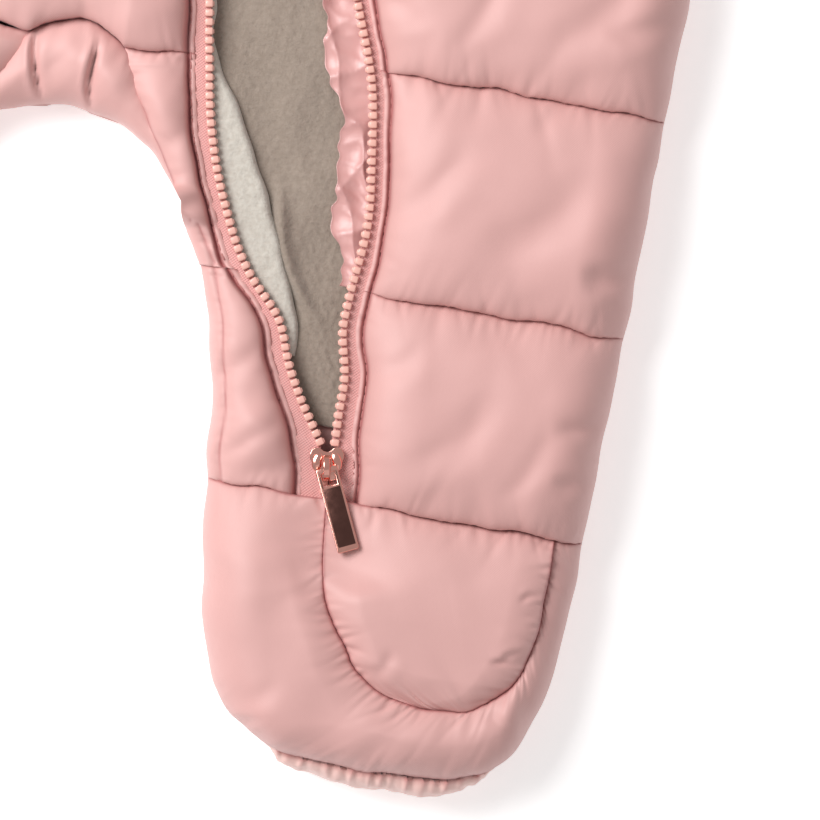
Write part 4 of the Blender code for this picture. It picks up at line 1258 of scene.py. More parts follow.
@dataclass
class Foot:
    """One bootie: back, wrap round the vamp, vamp and sole strip."""

    side: str
    mirror: bool
    seed: int
    loft: float = 24.0
    sole_from: float = -214.0
    sole_start: float = 113.0
    sole_reach: float = 7.4
    under_pull: Crease = Crease((121.0, -118.0), (136.0, -160.0), 9.0, 17.0, 0.0)

    def build(self, wardrobe: Wardrobe) -> dict[str, Piece]:
        """Build the four pieces and return them by name."""
        outline = resample(PATTERN.foot_outline, 230)
        seam = resample(PATTERN.vamp_seam, 230)
        middle = 0.5 * (seam[0] + seam[-1])
        out = seam - middle
        ring = seam + out / np.linalg.norm(out, axis=1)[:, None] * 0.05
        sewn = 1.0 - fade(outline[:, 1], -225.6, -196.0)
        wrap = StripPanel(
            f"foot_wrap_{self.side}_wall", f"foot_wrap_{self.side}",
            Relief(self.seed, self.loft, 0.5, 44.0, creases=self.wrap_creases()), mirror=self.mirror,
            first=ring, second=outline, first_kind=Edge.INSET, second_kind=Edge.RIM,
            start_kind=Edge.UPPER_SEAM, end_kind=Edge.UPPER_SEAM, step=1.0, second_blend=sewn)
        half = len(seam) // 2
        vamp = StripPanel(
            f"foot_vamp_{self.side}_wall", f"foot_vamp_{self.side}",
            Relief(self.seed + 1, self.loft + 0.5, 0.45, 46.0, creases=self.vamp_creases()),
            mirror=self.mirror,
            first=seam[:half], second=seam[::-1][:half], first_kind=Edge.INSET, second_kind=Edge.INSET,
            start_kind=Edge.UPPER_SEAM, end_kind=Edge.INSET, step=1.0)
        back = StripPanel(
            f"foot_back_{self.side}_wall", f"foot_back_{self.side}", Relief(self.seed + 2, 19.5, 0.8),
            mirror=self.mirror, back=True, first=outline[:half:2], second=outline[::-1][:half:2],
            first_kind=Edge.RIM, second_kind=Edge.RIM, start_kind=Edge.SIDE_SEAM, end_kind=Edge.RIM, step=2.2)
        pieces = {wall.name: wall.build(wardrobe.shell) for wall in (wrap, vamp, back)}
        sole_painted_light = self.build_sole(outline, wardrobe.sole_painted_light)
        pieces[sole_painted_light.name] = sole_painted_light
        return pieces

    def wrap_creases(self) -> tuple[Crease, ...]:
        """Return the listed creases of the wrap."""
        return (
            Crease((84.0, -150.0), (116.0, -140.0), 0.5, 6.0),
            Crease((94.0, -212.0), (116.0, -200.0), 0.9, 4.0),
            Crease((206.0, -205.0), (192.0, -196.0), 1.4, 3.0),
            Crease((218.0, -166.0), (206.0, -160.0), 1.0, 3.0),
            self.under_pull,
        )

    def vamp_creases(self) -> tuple[Crease, ...]:
        """Return the listed creases of the vamp."""
        return (
            Crease((208.0, -151.0), (199.0, -153.5), 1.5, 1.4),
            Crease((207.0, -171.0), (196.0, -176.0), 1.3, 1.5),
            Crease((204.0, -178.0), (193.0, -178.0), 1.3, 1.3),
            Crease((150.0, -192.0), (156.0, -180.0), 0.7, 2.4),
            self.under_pull,
        )

    def build_sole(self, outline: Array, material: Material) -> Piece:
        """Build the rolled sole strip along the lower part of the outline."""
        sewn = (outline[:, 1] < self.sole_from) & (outline[:, 0] > self.sole_start)
        line = resample([tuple(p) for p in outline[sewn][::6]], 150)
        ends = np.linspace(-1.0, 1.0, len(line))
        swell = np.maximum(0.1, 1.0 - np.abs(ends) ** 5)
        turns = np.linspace(0.0, math.pi, 26)
        reach = np.sin(turns) ** 0.8
        lift = np.cos(turns)
        gather = 0.5 * waves(line[:, 0], line[:, 0] * 0.0, 5.2, self.seed + 5)
        gather += 0.4 * np.sin(line[:, 0] * 1.25)
        middle_z, half_z = 13.9, 13.6
        depth = 1.3 * (np.abs(lift) ** 2)[:, None] * gather[None]
        x = np.repeat(line[:, 0][None], len(turns), axis=0)
        x = x + 0.35 * np.cos(line[:, 0] * 0.9)[None] * reach[:, None]
        y = line[:, 1][None] - HEIGHTS.gap - (self.sole_reach * swell)[None] * reach[:, None]
        bulge = 0.35 * reach[:, None] * waves(x, y * 4.0, 9.0, self.seed + 6)
        y = y + bulge + 0.4
        z = middle_z + half_z * lift[:, None] * (0.35 + 0.65 * swell)[None] - depth
        z = np.maximum(z, 0.0)
        upper = drift(np.stack([x, y, z], axis=-1))
        lower = upper.copy()
        lower[..., 1] = np.maximum(upper[..., 1], line[:, 1][None] - HEIGHTS.gap + 0.2)
        if self.mirror:
            upper[..., 0] *= -1.0
            lower[..., 0] *= -1.0
        # painted shade: darkens the strip's seam edges and the troughs of its gathers
        shade = 0.6 * np.exp(-((reach / 0.25) ** 2))[:, None] + 0.35 * np.maximum(-gather, 0.0)[None]
        piece = closed_wall(f"foot_sole_{self.side}_strip", upper, lower, material, shade)
        return register(piece, nodes=(f"foot_sole_{self.side}",))


@dataclass
class Sleeve:
    """One sleeve with its gathered cuff, each a back wall and a front wall."""

    side: str
    mirror: bool
    seed: int
    direction: tuple[float, float] = (0.53, -0.848)
    length: float = 190.0
    cuff_width: float = 85.0
    cuff_length: float = 16.0
    bulge: float = 9.0
    inset: float = 0.04
    lines: tuple[float, ...] = (0.31, 0.65)

    def edges(self, count: int) -> tuple[Array, Array]:
        """Return matching points along the lower and the upper edge, from armhole to cuff."""
        run = np.array(self.direction)
        side = np.array((-run[1], run[0]))
        shoulder, armpit = np.array(PATTERN.shoulder), np.array(PATTERN.armpit)
        end = 0.5 * (shoulder + armpit) + run * self.length
        t = np.linspace(0.0, 1.0, count)[:, None]
        upper = shoulder + t * (end + side * self.cuff_width / 2 - shoulder)
        upper = upper + side * self.bulge * 4.0 * t * (1.0 - t)
        lower = armpit + t * (end - side * self.cuff_width / 2 - armpit)
        shift = np.array((HEIGHTS.gap, 0.0))
        return lower + shift, upper + shift

    def build(self, wardrobe: Wardrobe) -> dict[str, Piece]:
        """Build the sleeve's and the cuff's walls and return them by name."""
        lower, upper = self.edges(90)
        pieces = {}
        for where, back, loft in (("front", False, 24.0), ("back", True, 19.5)):
            wall = StripPanel(
                f"sleeve_{where}_{self.side}_wall", f"sleeve_{where}_{self.side}",
                Relief(self.seed + int(back), loft), mirror=self.mirror, back=back, first=lower, second=upper,
                first_kind=Edge.RIM, second_kind=Edge.RIM, start_kind=Edge.SIDE_SEAM, end_kind=Edge.HEM,
                step=2.2, lines=self.lines)
            pieces[wall.name] = wall.build(wardrobe.shell)
            cuff = self.build_cuff(where, back, lower[-1], upper[-1], wardrobe.shell)
            pieces[cuff.name] = cuff
        return pieces

    def build_cuff(
        self, where: str, back: bool, low: Array, high: Array, material: Material
    ) -> Piece:
        """Build one half of the gathered cuff.

        Args:
            where: "front" or "back".
            back: True for the half below the middle level.
            low: Lower corner of the sleeve's end.
            high: Upper corner of the sleeve's end.
            material: The cuff's finish.

        Returns:
            The cuff half.
        """
        run = np.array(self.direction)
        shares = np.linspace(self.inset, 1.0 - self.inset, 120)
        reach = np.linspace(HEIGHTS.gap, self.cuff_length, 16)
        start = low[None] + shares[:, None] * (high - low)[None]
        plan = start[None] + reach[:, None, None] * run[None, None]
        across = np.minimum(shares - self.inset, 1.0 - self.inset - shares) * self.cuff_width
        full = 9.0 if not back else 12.5
        body = full * rounding(across, 14.0, 2.2)[None]
        ends = rounding(np.minimum(reach, self.cuff_length - reach) + 1.2, 6.0, 2.2)[:, None]
        gathers = 0.7 * np.sin(shares * 150.0) + 0.5 * waves(shares * 90.0, shares * 0.0, 6.0, self.seed + 9)
        height = 0.4 + body * ends + gathers[None] * ends * rounding(across, 6.0, 2.0)[None]
        sign = -1.0 if back else 1.0
        level = HEIGHTS.middle + (0.0 if back else HEIGHTS.gap)
        outer = np.concatenate([plan, np.maximum(level + sign * height, 0.0)[..., None]], axis=-1)
        flat = outer.copy()
        flat[..., 2] = level
        if self.mirror:
            outer[..., 0] *= -1.0
            flat[..., 0] *= -1.0
        # painted shade: darkens the colour in the troughs of the gathers
        shade = np.clip(0.25 - 0.3 * gathers, 0.0, 0.6)[None] * np.ones(height.shape)
        pair = (flat, outer) if back else (outer, flat)
        piece = closed_wall(f"cuff_{where}_{self.side}_wall", *pair, material, shade)
        return register(piece, nodes=(f"cuff_{where}_{self.side}",))


@dataclass
class Collar:
    """Stand collar, pressed flat: one back wall and two front walls."""

    height: float = PATTERN.collar_height
    step: float = 1.8

    def half(self, name: str, node: str, span: tuple[float, float], centre_y: float, seed: int) -> PaddedWall:
        """Return one wall of the collar over the neckline between two x values.

        Args:
            name: The piece's name.
            node: The CAD node that it stands for.
            span: First and last x of the neckline.
            centre_y: Lowest point of the neckline.
            seed: Seed of its relief.

        Returns:
            The wall, ready to build.
        """
        x = np.linspace(span[0], span[1], int(abs(span[1] - span[0]) / self.step))
        low = np.stack([x, PATTERN.neck_edge(x, centre_y) + HEIGHTS.gap], axis=1)
        back = node == "collar_back"
        taper = 0.95 if back else 1.0
        high = np.stack([x * taper, low[:, 1] + self.height], axis=1)
        return StripPanel(
            name, node, Relief(seed, 17.0 if back else 13.5, 0.5, 40.0), back=back, first=low, second=high,
            first_kind=Edge.SIDE_SEAM, second_kind=Edge.HEM, start_kind=Edge.HEM, end_kind=Edge.HEM,
            step=self.step)

    def build(self, wardrobe: Wardrobe) -> dict[str, Piece]:
        """Build the three walls and return them by name."""
        neck = PATTERN.neck_point[0]
        left = float(PATTERN.outer_edge(PATTERN.front_neck_y))
        right = float(PATTERN.inner_edge(PATTERN.front_neck_y))
        walls = (
            self.half("collar_back_wall", "collar_back", (-neck, neck), PATTERN.back_neck_y, 41),
            self.half("collar_left_wall", "collar_front_left", (left, neck), PATTERN.front_neck_y, 42),
            self.half("collar_right_wall", "collar_front_right", (-neck, right), PATTERN.front_neck_y, 43),
        )
        return {wall.name: wall.build(wardrobe.shell) for wall in walls}


# ---------------------------------------------------------------- sheets inside the opening
def declare_sheet(
    piece: Piece, node: str,
) -> Piece:
    """Register a sheet of cloth like any other piece.

    Args:
        piece: The finished sheet.
        node: The CAD node that it stands for.

    Returns:
        The same piece.
    """
    register(piece, nodes=(node,))
    return piece


@dataclass
class Linings:
    """Fleece that the open zip shows: the back's lining and the strip of the inner front's."""

    top_y: float = 454.0
    low_y: float = -102.0
    pile: float = 0.22
    strip_rise: float = 3.4
    folds: tuple[Crease, ...] = (
        Crease((84.0, -16.0), (104.0, -62.0), -3.4, 2.6),
        Crease((82.0, 20.0), (100.0, -24.0), -1.2, 6.0),
    )

    def nap(self, x: Array, y: Array, seed: int) -> Array:
        """Height of the pile's tufts."""
        return self.pile * (0.6 * waves(x, y, 3.4, seed, 14) + 0.5 * waves(x, y, 7.5, seed + 1, 12))

    def build_back(self, wardrobe: Wardrobe, rests_on: Piece) -> Piece:
        """Build the back's lining between the two front edges, in the darkened fleece that paints the shade
        inside the opening.
        """
        fine = np.arange(self.low_y, 70.0, 1.15)
        rows = np.concatenate([fine, np.arange(72.0, self.top_y, 4.0), [self.top_y]])
        a, b = PATTERN.inner_edge(rows) + HEIGHTS.gap, PATTERN.outer_edge(rows) - HEIGHTS.gap
        x, y = spread(rows, a, b, np.linspace(0.0, 1.0, 76))
        z = HEIGHTS.lining + self.nap(x, y, 51) + 0.7 * waves(x, y, 38.0, 53)
        for fold in self.folds:
            z -= fold.relief(x, y)
        z = np.maximum(z, HEIGHTS.middle + 1.0)
        upper = np.stack([x, y, z], axis=-1)
        piece = closed_wall("back_lining_sheet", upper, HEIGHTS.middle + HEIGHTS.gap, wardrobe.fleece)
        return declare_sheet(piece, "lining_back")

    def build_strip(self, wardrobe: Wardrobe, rests_on: Piece) -> Piece:
        """Build the folded edge of the inner front's lining beside the inner teeth."""
        table = PATTERN.lining_table
        rows = np.arange(table[-1][0] - 4.0, table[0][0] - 6.0, 0.9)
        a = PATTERN.inner_edge(rows) + HEIGHTS.gap
        wobble = 0.8 * waves(rows, rows * 0.0, 24.0, 55)
        b = np.maximum(smooth(table, rows) + 1.2 + wobble, a + 2.0)
        x, y = spread(rows, a, b, np.linspace(0.0, 1.0, 22))
        roll = rounding((b[:, None] - x), 3.4, 2.0) * self.strip_rise
        z = HEIGHTS.lining + 0.9 + roll + 0.7 * self.nap(x, y, 57)
        z = np.minimum(z, HEIGHTS.tape - 0.4)
        upper = np.stack([x, y, z], axis=-1)
        piece = closed_wall("front_lining_fold", upper, HEIGHTS.lining + 0.8, wardrobe.fleece_light)
        return declare_sheet(piece, "lining_inner_front")


@dataclass
class Facing:
    """Crumpled shiny facing inside the outer zip edge, free towards the opening."""

    thick: float = 0.7
    fold_depth: float = 3.0

    def folds(self, x: Array, y: Array) -> Array:
        """Sharp diagonal folds of a thin crisp cloth."""
        warp = 2.4 * waves(x, y, 26.0, 61)
        steep = np.abs(np.sin((0.85 * x + 0.40 * y + warp) * math.pi / 12.0))
        shallow = np.abs(np.sin((0.60 * x - 0.62 * y + 1.4 * warp) * math.pi / 14.0))
        fine = np.abs(np.sin((0.3 * x + 0.85 * y + 1.2 * warp) * math.pi / 6.0))
        return 0.6 * (1.0 - steep ** 0.75) + 0.5 * (1.0 - shallow ** 0.85) + 0.18 * (1.0 - fine)

    def build(self, wardrobe: Wardrobe, rests_on: Piece) -> Piece:
        """Build the facing as a thin closed sheet."""
        table = PATTERN.facing_table
        fine = np.arange(table[-1][0] - 2.0, 75.0, 0.9)
        rows = np.concatenate([fine, np.arange(76.0, table[0][0], 3.5)])
        wobble = 1.3 * waves(rows, rows * 0.0, 17.0, 62) + 0.6 * waves(rows, rows * 0.0, 7.0, 63)
        b = PATTERN.outer_edge(rows) - HEIGHTS.gap
        a = np.minimum(smooth(table, rows) + wobble, b - 2.0)
        shares = np.linspace(0.0, 1.0, 44)
        x, y = spread(rows, a, b, shares)
        free = 1.0 - rounding(x - a[:, None], 5.0, 2.0)
        rise = 0.2 + 0.8 * free + 0.5 * shares[None]
        z = HEIGHTS.facing + rise + self.fold_depth * self.folds(x, y)
        z = np.minimum(z, HEIGHTS.tape - 0.2)
        upper = np.stack([x, y, z], axis=-1)
        lower = upper.copy()
        lower[..., 2] -= self.thick
        # painted shade that follows the fold relief, darker where the folds are high
        crease = np.clip(0.5 * self.folds(x, y) - 0.35, 0.0, 0.4)
        piece = closed_wall("zip_facing_sheet", upper, lower, wardrobe.facing, crease)
        return declare_sheet(piece, "zip_facing")


# ---------------------------------------------------------------- zip
def rounded_box(size: tuple[float, float, float], bevel: float) -> tuple[Array, list]:
    """Make the points and faces of a box with rounded edges, centred on its middle.

    Args:
        size: Sizes along x, y and z.
        bevel: Radius of the edges.

    Returns:
        The points and the faces.
    """
    bm = bmesh.new()
    bmesh.ops.create_cube(bm, size=1.0)
    bmesh.ops.scale(bm, vec=Vector(size), verts=bm.verts)
    bmesh.ops.bevel(bm, geom=list(bm.edges), offset=bevel, segments=2, profile=0.5, affect="EDGES")
    bm.verts.index_update()
    points = np.array([vert.co[:] for vert in bm.verts])
    faces = [[vert.index for vert in face.verts] for face in bm.faces]
    bm.free()
    return points, faces


def repeat_shape(points: Array, faces: list, places: Array, turns: Array) -> tuple[Array, list]:
    """Copy a shape to many places, each turned about z.

    Args:
        points: The shape's points.
        faces: The shape's faces.
        places: Where each copy's middle goes.
        turns: Each copy's turn in radians.

    Returns:
        All points and all faces.
    """
    cosine, sine = np.cos(turns)[:, None], np.sin(turns)[:, None]
    x = points[None, :, 0] * cosine - points[None, :, 1] * sine + places[:, :1]
    y = points[None, :, 0] * sine + points[None, :, 1] * cosine + places[:, 1:2]
    z = points[None, :, 2] + places[:, 2:3]
    stack = np.stack([x, y, z], axis=-1).reshape(-1, 3)
    count = len(points)
    copies = range(len(places))
    return stack, [[corner + copy * count for corner in face] for copy in copies for face in faces]


def join_shapes(*shapes: tuple[Array, list]) -> tuple[Array, list]:
    """Join the points and faces of some shapes into one."""
    points, faces = np.zeros((0, 3)), []
    for more, more_faces in shapes:
        faces += [[corner + len(points) for corner in face] for face in more_faces]
        points = np.concatenate([points, more])
    return points, faces


def walk(line: Array, pitch: float, start: float = 0.0) -> tuple[Array, Array]:
    """Step along a plan line.

    Args:
        line: Points of the line.
        pitch: Distance between steps.
        start: Distance of the first step from the line's beginning.

    Returns:
        The points stepped to, and the line's direction at each in radians.
    """
    wanted = np.arange(start, run_length(line)[-1], pitch)
    run = step_along(line, wanted + 0.5) - step_along(line, wanted - 0.5)
    return step_along(line, wanted), np.arctan2(run[:, 1], run[:, 0])


@dataclass
class Zip:
    """The long zip: two tapes, two open rows of teeth, the closed chain and the topstitching."""

    top_y: float = 449.0
    low_y: float = -128.0
    pitch: float = 3.45
    tooth: tuple[float, float, float] = (2.7, 3.1, 2.9)
    tooth_bevel: float = 0.5
    stitch: float = 2.7
    stitch_pitch: float = 3.5
    stitch_radius: float = 0.33

    def line(self, curve: Curve, high: float, low: float) -> Array:
        """Return a plan line along a curve, from one y down to another."""
        y = np.linspace(high, low, 1200)
        return np.stack([curve(y), y], axis=1)

    def build_teeth(self, side: str, curve: Curve, end: tuple[float, float], wardrobe: Wardrobe) -> Piece:
        """Build one open row of moulded teeth down to the slider.

        Args:
            side: "inner" or "outer".
            curve: The row's middle line.
            end: Where the row enters the slider.
            wardrobe: The finishes.

        Returns:
            The row.
        """
        line = self.line(curve, self.top_y, end[1] + 14.0)
        last = np.linspace(line[-1], np.array(end), 30)
        line = np.concatenate([line, last[1:]])
        places, turns = walk(line, self.pitch, 1.0)
        heights = np.full((len(places), 1), HEIGHTS.teeth_middle)
        body, faces = rounded_box(self.tooth, self.tooth_bevel)
        bodies = repeat_shape(body, faces, np.concatenate([places, heights], axis=1), turns)
        toward = 1.0 if side == "inner" else -1.0
        head, head_faces = rounded_box((1.7, 0.8, 1.7), 0.3)
        side_step = np.stack([-np.sin(turns), np.cos(turns)], axis=1) * 1.55 * toward
        heads = np.concatenate([places + side_step, heights - 0.1], axis=1)
        points, all_faces = join_shapes(bodies, repeat_shape(head, head_faces, heads, turns))
        # painted shade: the teeth's lower sides are darkened towards the darker colour
        lower_side_painted_shade = np.clip((HEIGHTS.teeth_middle - points[:, 2]) * 0.6, 0.0, 0.7)
        piece = make_object(f"zip_teeth_{side}_row", points, all_faces, wardrobe.teeth, lower_side_painted_shade)
        return register(piece, nodes=(f"zip_teeth_{side}",))

    def build_tape(
        self, side: str, sign: float, edge: Curve, teeth: Curve, wardrobe: Wardrobe, rests_on: Piece
    ) -> Piece:
        """Build one woven tape between the sewn edge and the teeth.

        Args:
            side: "inner" or "outer".
            sign: 1 where the teeth lie towards larger x, else -1.
            edge: The wall's sewn edge.
            teeth: The teeth's middle line.
            wardrobe: The finishes.
            rests_on: The wall that holds the tape; not used.

        Returns:
            The tape.
        """
        rows = np.concatenate([np.arange(self.low_y - 2.0, 70.0, 1.0), np.arange(71.0, self.top_y, 4.0)])
        a, b = edge(rows) - sign * 1.2, teeth(rows) + sign * 0.9
        near = rows < Slider.at[1] + 8.0
        b = np.where(near, Slider.at[0] - sign * 3.4, b)
        b = np.where(rows < Slider.at[1] - 4.5, 121.0 - sign * 0.3, b)
        shares = np.linspace(0.0, 1.0, 9)
        x, y = spread(rows, a, b, shares)
        cord = 0.75 * np.exp(-(((shares - 0.93) / 0.07) ** 2))[None]
        rib = 0.05 * np.sin(shares * 40.0)[None]
        z = HEIGHTS.tape + cord + rib + 0.12 * waves(x, y, 30.0, 64)
        z = np.where(near[:, None], np.minimum(z, HEIGHTS.tape + 0.2) + 0.7, z)
        upper = np.stack([x, y, z], axis=-1)
        lower = upper.copy()
        lower[..., 2] -= HEIGHTS.tape_thick
        piece = closed_wall(f"zip_tape_{side}_strip", upper, lower, wardrobe.tape)
        return declare_sheet(piece, f"zip_tape_{side}")

    def build_chain(self, wardrobe: Wardrobe) -> Piece:
        """Build the closed chain between the slider and the ankle seam."""
        half = 1.15
        line = np.array([[120.6, -122.6], [121.6, self.low_y]])
        body, faces = rounded_box((2.3, 3.2, 2.6), 0.6)
        sides = []
        for shift, start in ((-half, 0.0), (half, self.pitch * 0.5)):
            places, turns = walk(line + np.array([shift, 0.0]), self.pitch, start)
            heights = np.full((len(places), 1), HEIGHTS.teeth_middle - 0.2)
            sides.append(repeat_shape(body, faces, np.concatenate([places, heights], axis=1), turns))
        points, all_faces = join_shapes(*sides)
        piece = make_object("zip_closed_chain", points, all_faces, wardrobe.teeth)
        return register(piece, nodes=("zip_chain_closed",))

    def build_stitches(
        self, name: str, walls: Sequence[Piece], curve: Curve, sign: float, wardrobe: Wardrobe
    ) -> Piece:
        """Build the line of topstitching on the sewn band beside the zip.

        Args:
            name: The piece's name.
            walls: The walls that the stitches lie on.
            curve: The walls' sewn edge.
            sign: Direction from the edge into the wall.
            wardrobe: The finishes.

        Returns:
            The stitches.
        """
        line = self.line(lambda y: curve(y) + sign * ZIP_BAND, self.top_y - 40.0, self.low_y + 2.0)
        places, turns = walk(line, self.stitch_pitch)
        low, high = PATTERN.waist_y - 3.5, PATTERN.waist_y + 1.5
        knee = PATTERN.knee_y
        keep = ~((places[:, 1] > low) & (places[:, 1] < high)) & (np.abs(places[:, 1] - knee) > 1.5)
        places, turns = places[keep], turns[keep]
        moved = drift(np.concatenate([places, np.zeros((len(places), 1))], axis=1))
        moved[:, 2] = surface_heights(walls, moved[:, :2]) + 0.42 * self.stitch_radius
        capsule, faces = rounded_box((self.stitch, 2.0 * self.stitch_radius, 1.6 * self.stitch_radius), 0.22)
        points, all_faces = repeat_shape(capsule, faces, moved, turns)
        piece = make_object(name, points, all_faces, wardrobe.thread)
        return register(piece)


def surface_heights(walls: Sequence[Piece], plan: Array) -> Array:
    """Return the height in millimetres of the top of some walls under plan points.

    Args:
        walls: Pieces to look down on.
        plan: Plan points in pattern millimetres.

    Returns:
        The height of the upper surface at each point.
    """
    result = np.full(len(plan), HEIGHTS.middle + 9.5)
    high = 0.2
    for wall in walls:
        for index, (x, y) in enumerate(plan):
            start = Vector((x * MM, (y - MIDDLE_Y) * MM, high))
            hit, where, _, _ = wall.ray_cast(start, Vector((0.0, 0.0, -1.0)))
            if hit:
                result[index] = where.z / MM
    return result


@dataclass
class Slider:
    """Cast slider with its bail, and the pull bar that turns in the bail."""

    at: tuple[float, float] = (119.5, -115.8)
    turn: float = math.radians(10.0)
    length: float = 12.6
    wide: float = 12.9
    narrow: float = 8.2
    low: float = 23.6
    top: float = 29.0
    bail_width: float = 2.4
    bail_wire: float = 1.0
    eye: tuple[float, float] = (7.6, 3.6)
    bail_shift: float = 1.4
    pivot_shift: float = 2.2
    pull_turn: float = math.radians(25.3)
    pull_rise: float = math.radians(8.5)
    pull_length: float = 32.6
    pull_width: float = 8.2
    pull_thick: float = 2.0
    beyond_pivot: float = 1.0
    window: tuple[float, float, float] = (5.2, 0.95, 6.1)

    def finish_piece(
        self, bm: bmesh.types.BMesh, name: str, material: Material, matrix: Matrix, bevel: float
    ) -> Piece:
        """Turn a bmesh in millimetres into a bevelled piece placed by a matrix.

        Args:
            bm: The shape, in millimetres about its own origin.
            name: The piece's name.
            material: The piece's finish.
            matrix: Where the piece goes in the frame.
            bevel: Radius of its edges in millimetres.

        Returns:
            The piece.
        """
        bmesh.ops.recalc_face_normals(bm, faces=bm.faces)
        least = math.radians(25.0)
        sharp = [edge for edge in bm.edges if edge.is_manifold and edge.calc_face_angle() > least]
        bmesh.ops.bevel(
            bm, geom=sharp, offset=bevel, segments=3, profile=0.6, affect="EDGES", clamp_overlap=True)
        bmesh.ops.scale(bm, vec=Vector((MM, MM, MM)), verts=bm.verts)
        bmesh.ops.transform(bm, matrix=matrix, verts=bm.verts)
        mesh = bpy.data.meshes.new(name)
        bm.to_mesh(mesh)
        bm.free()
        mesh.shade_smooth()
        mesh.set_sharp_from_angle(angle=math.radians(38.0))
        mesh.materials.append(material)
        piece = bpy.data.objects.new(name, mesh)
        bpy.context.scene.collection.objects.link(piece)
        return piece

    def prism(self, bm: bmesh.types.BMesh, profile: Outline, low: float, high: float) -> None:
        """Add a prism of a closed plan profile to a bmesh."""
        under = [bm.verts.new((x, y, low)) for x, y in profile]
        top = [bm.verts.new((x, y, high)) for x, y in profile]
        bm.faces.new(list(reversed(under)))
        bm.faces.new(top)
        for k in range(len(profile)):
            n = (k + 1) % len(profile)
            bm.faces.new((under[k], under[n], top[n], top[k]))

    def shield(self, scale: float = 1.0) -> list[tuple[float, float]]:
        """Return the slider's plan outline with its two shoulders and a notch between them."""
        half, wide, narrow = 0.5 * self.length, 0.5 * self.wide, 0.5 * self.narrow
        right = [
            (0.22 * wide, 0.80 * half), (0.42 * wide, 0.97 * half), (0.66 * wide, half),
            (0.88 * wide, 0.88 * half), (wide, 0.60 * half), (0.98 * wide, 0.34 * half),
            (0.84 * wide, 0.04 * half), (1.02 * narrow, -0.34 * half), (narrow, -0.66 * half),
            (0.88 * narrow, -0.88 * half), (0.6 * narrow, -half),
        ]
        outline = [(0.0, 0.72 * half)] + right + [(-x, y) for x, y in reversed(right)]
        return [(x * scale, y * scale) for x, y in outline]

    def build_body(self, wardrobe: Wardrobe) -> Piece:
        """Build the slider: two plates, the post between them, the raised lobes and the bail."""
        place = Matrix.Translation(Vector((self.at[0] * MM, (self.at[1] - MIDDLE_Y) * MM, 0.0)))
        matrix = place @ Matrix.Rotation(self.turn, 4, "Z")
        bm = bmesh.new()
        self.prism(bm, self.shield(), self.top - 1.7, self.top - 0.1)
        self.prism(bm, self.shield(0.97), self.low, self.low + 1.0)
        self.prism(bm, [(1.5, 1.6), (-1.5, 1.6), (-0.9, 4.0), (0.9, 4.0)], self.low + 0.9, self.top - 1.6)
        for sign in (-1.0, 1.0):
            wall = [(sign * 3.6, -4.6), (sign * 3.9, -1.2), (sign * 4.6, -1.2), (sign * 4.1, -4.6)]
            self.prism(bm, wall if sign > 0.0 else wall[::-1], self.low + 0.9, self.top - 1.6)
        body = self.finish_piece(bm, "zip_slider_body", wardrobe.rose, matrix, 0.5)
        register(body, nodes=("zip_slider",))
        self.build_lobes(wardrobe, matrix)
        self.build_bail(wardrobe, matrix)
        return body

    def build_lobes(self, wardrobe: Wardrobe, matrix: Matrix) -> None:
        """Build the two cushioned lobes on the upper plate's shoulders."""
        bm = bmesh.new()
        for sign in (-1.0, 1.0):
            ball = bmesh.ops.create_uvsphere(bm, u_segments=28, v_segments=14, radius=1.0)
            bmesh.ops.scale(bm, vec=Vector((2.15, 3.5, 0.95)), verts=ball["verts"])
            splay = Matrix.Rotation(sign * 0.2, 3, "Z")
            bmesh.ops.rotate(bm, cent=Vector(), matrix=splay, verts=ball["verts"])
            bmesh.ops.translate(bm, vec=Vector((sign * 3.5, 0.9, self.top - 0.25)), verts=ball["verts"])
        for vert in bm.verts:
            vert.co.z = max(vert.co.z, self.top - 0.6)
        bmesh.ops.remove_doubles(bm, verts=bm.verts, dist=0.0001)
        lobes = self.finish_piece(bm, "zip_slider_lobes", wardrobe.rose, matrix, 0.02)
        register(lobes)

    def build_bail(self, wardrobe: Wardrobe, matrix: Matrix) -> None:
        """Build the arched bail that holds the pull."""
        half_l, half_h = 0.5 * self.eye[0] + self.bail_wire, 0.5 * self.eye[1] + self.bail_wire
        pivot = self.top + 0.5 * self.eye[1]
        turns = np.linspace(0.0, math.pi, 25)
        outer = [(half_l * math.cos(t), -0.6 * half_h + 1.6 * half_h * math.sin(t) ** 0.8) for t in turns]
        inner_l, inner_h = 0.5 * self.eye[0], 0.5 * self.eye[1]
        rise = 0.6 * half_h + inner_h
        inner = [(inner_l * math.cos(t), -0.6 * half_h + rise * math.sin(t) ** 0.7) for t in turns]
        bm = bmesh.new()
        rings = []
        for across in (-0.5 * self.bail_width, 0.5 * self.bail_width):
            rings.append([
                [bm.verts.new((across, s - self.bail_shift, pivot + h)) for s, h in loop]
                for loop in (outer, inner)])
        (outer_a, inner_a), (outer_b, inner_b) = rings
        for k in range(len(turns) - 1):
            bm.faces.new((outer_a[k], outer_a[k + 1], inner_a[k + 1], inner_a[k]))
            bm.faces.new((outer_b[k + 1], outer_b[k], inner_b[k], inner_b[k + 1]))
            bm.faces.new((outer_a[k + 1], outer_a[k], outer_b[k], outer_b[k + 1]))
            bm.faces.new((inner_a[k], inner_a[k + 1], inner_b[k + 1], inner_b[k]))
        for k in (0, -1):
            bm.faces.new((outer_a[k], inner_a[k], inner_b[k], outer_b[k]))
        bail = self.finish_piece(bm, "zip_slider_bail", wardrobe.rose, matrix, 0.32)
        register(bail)

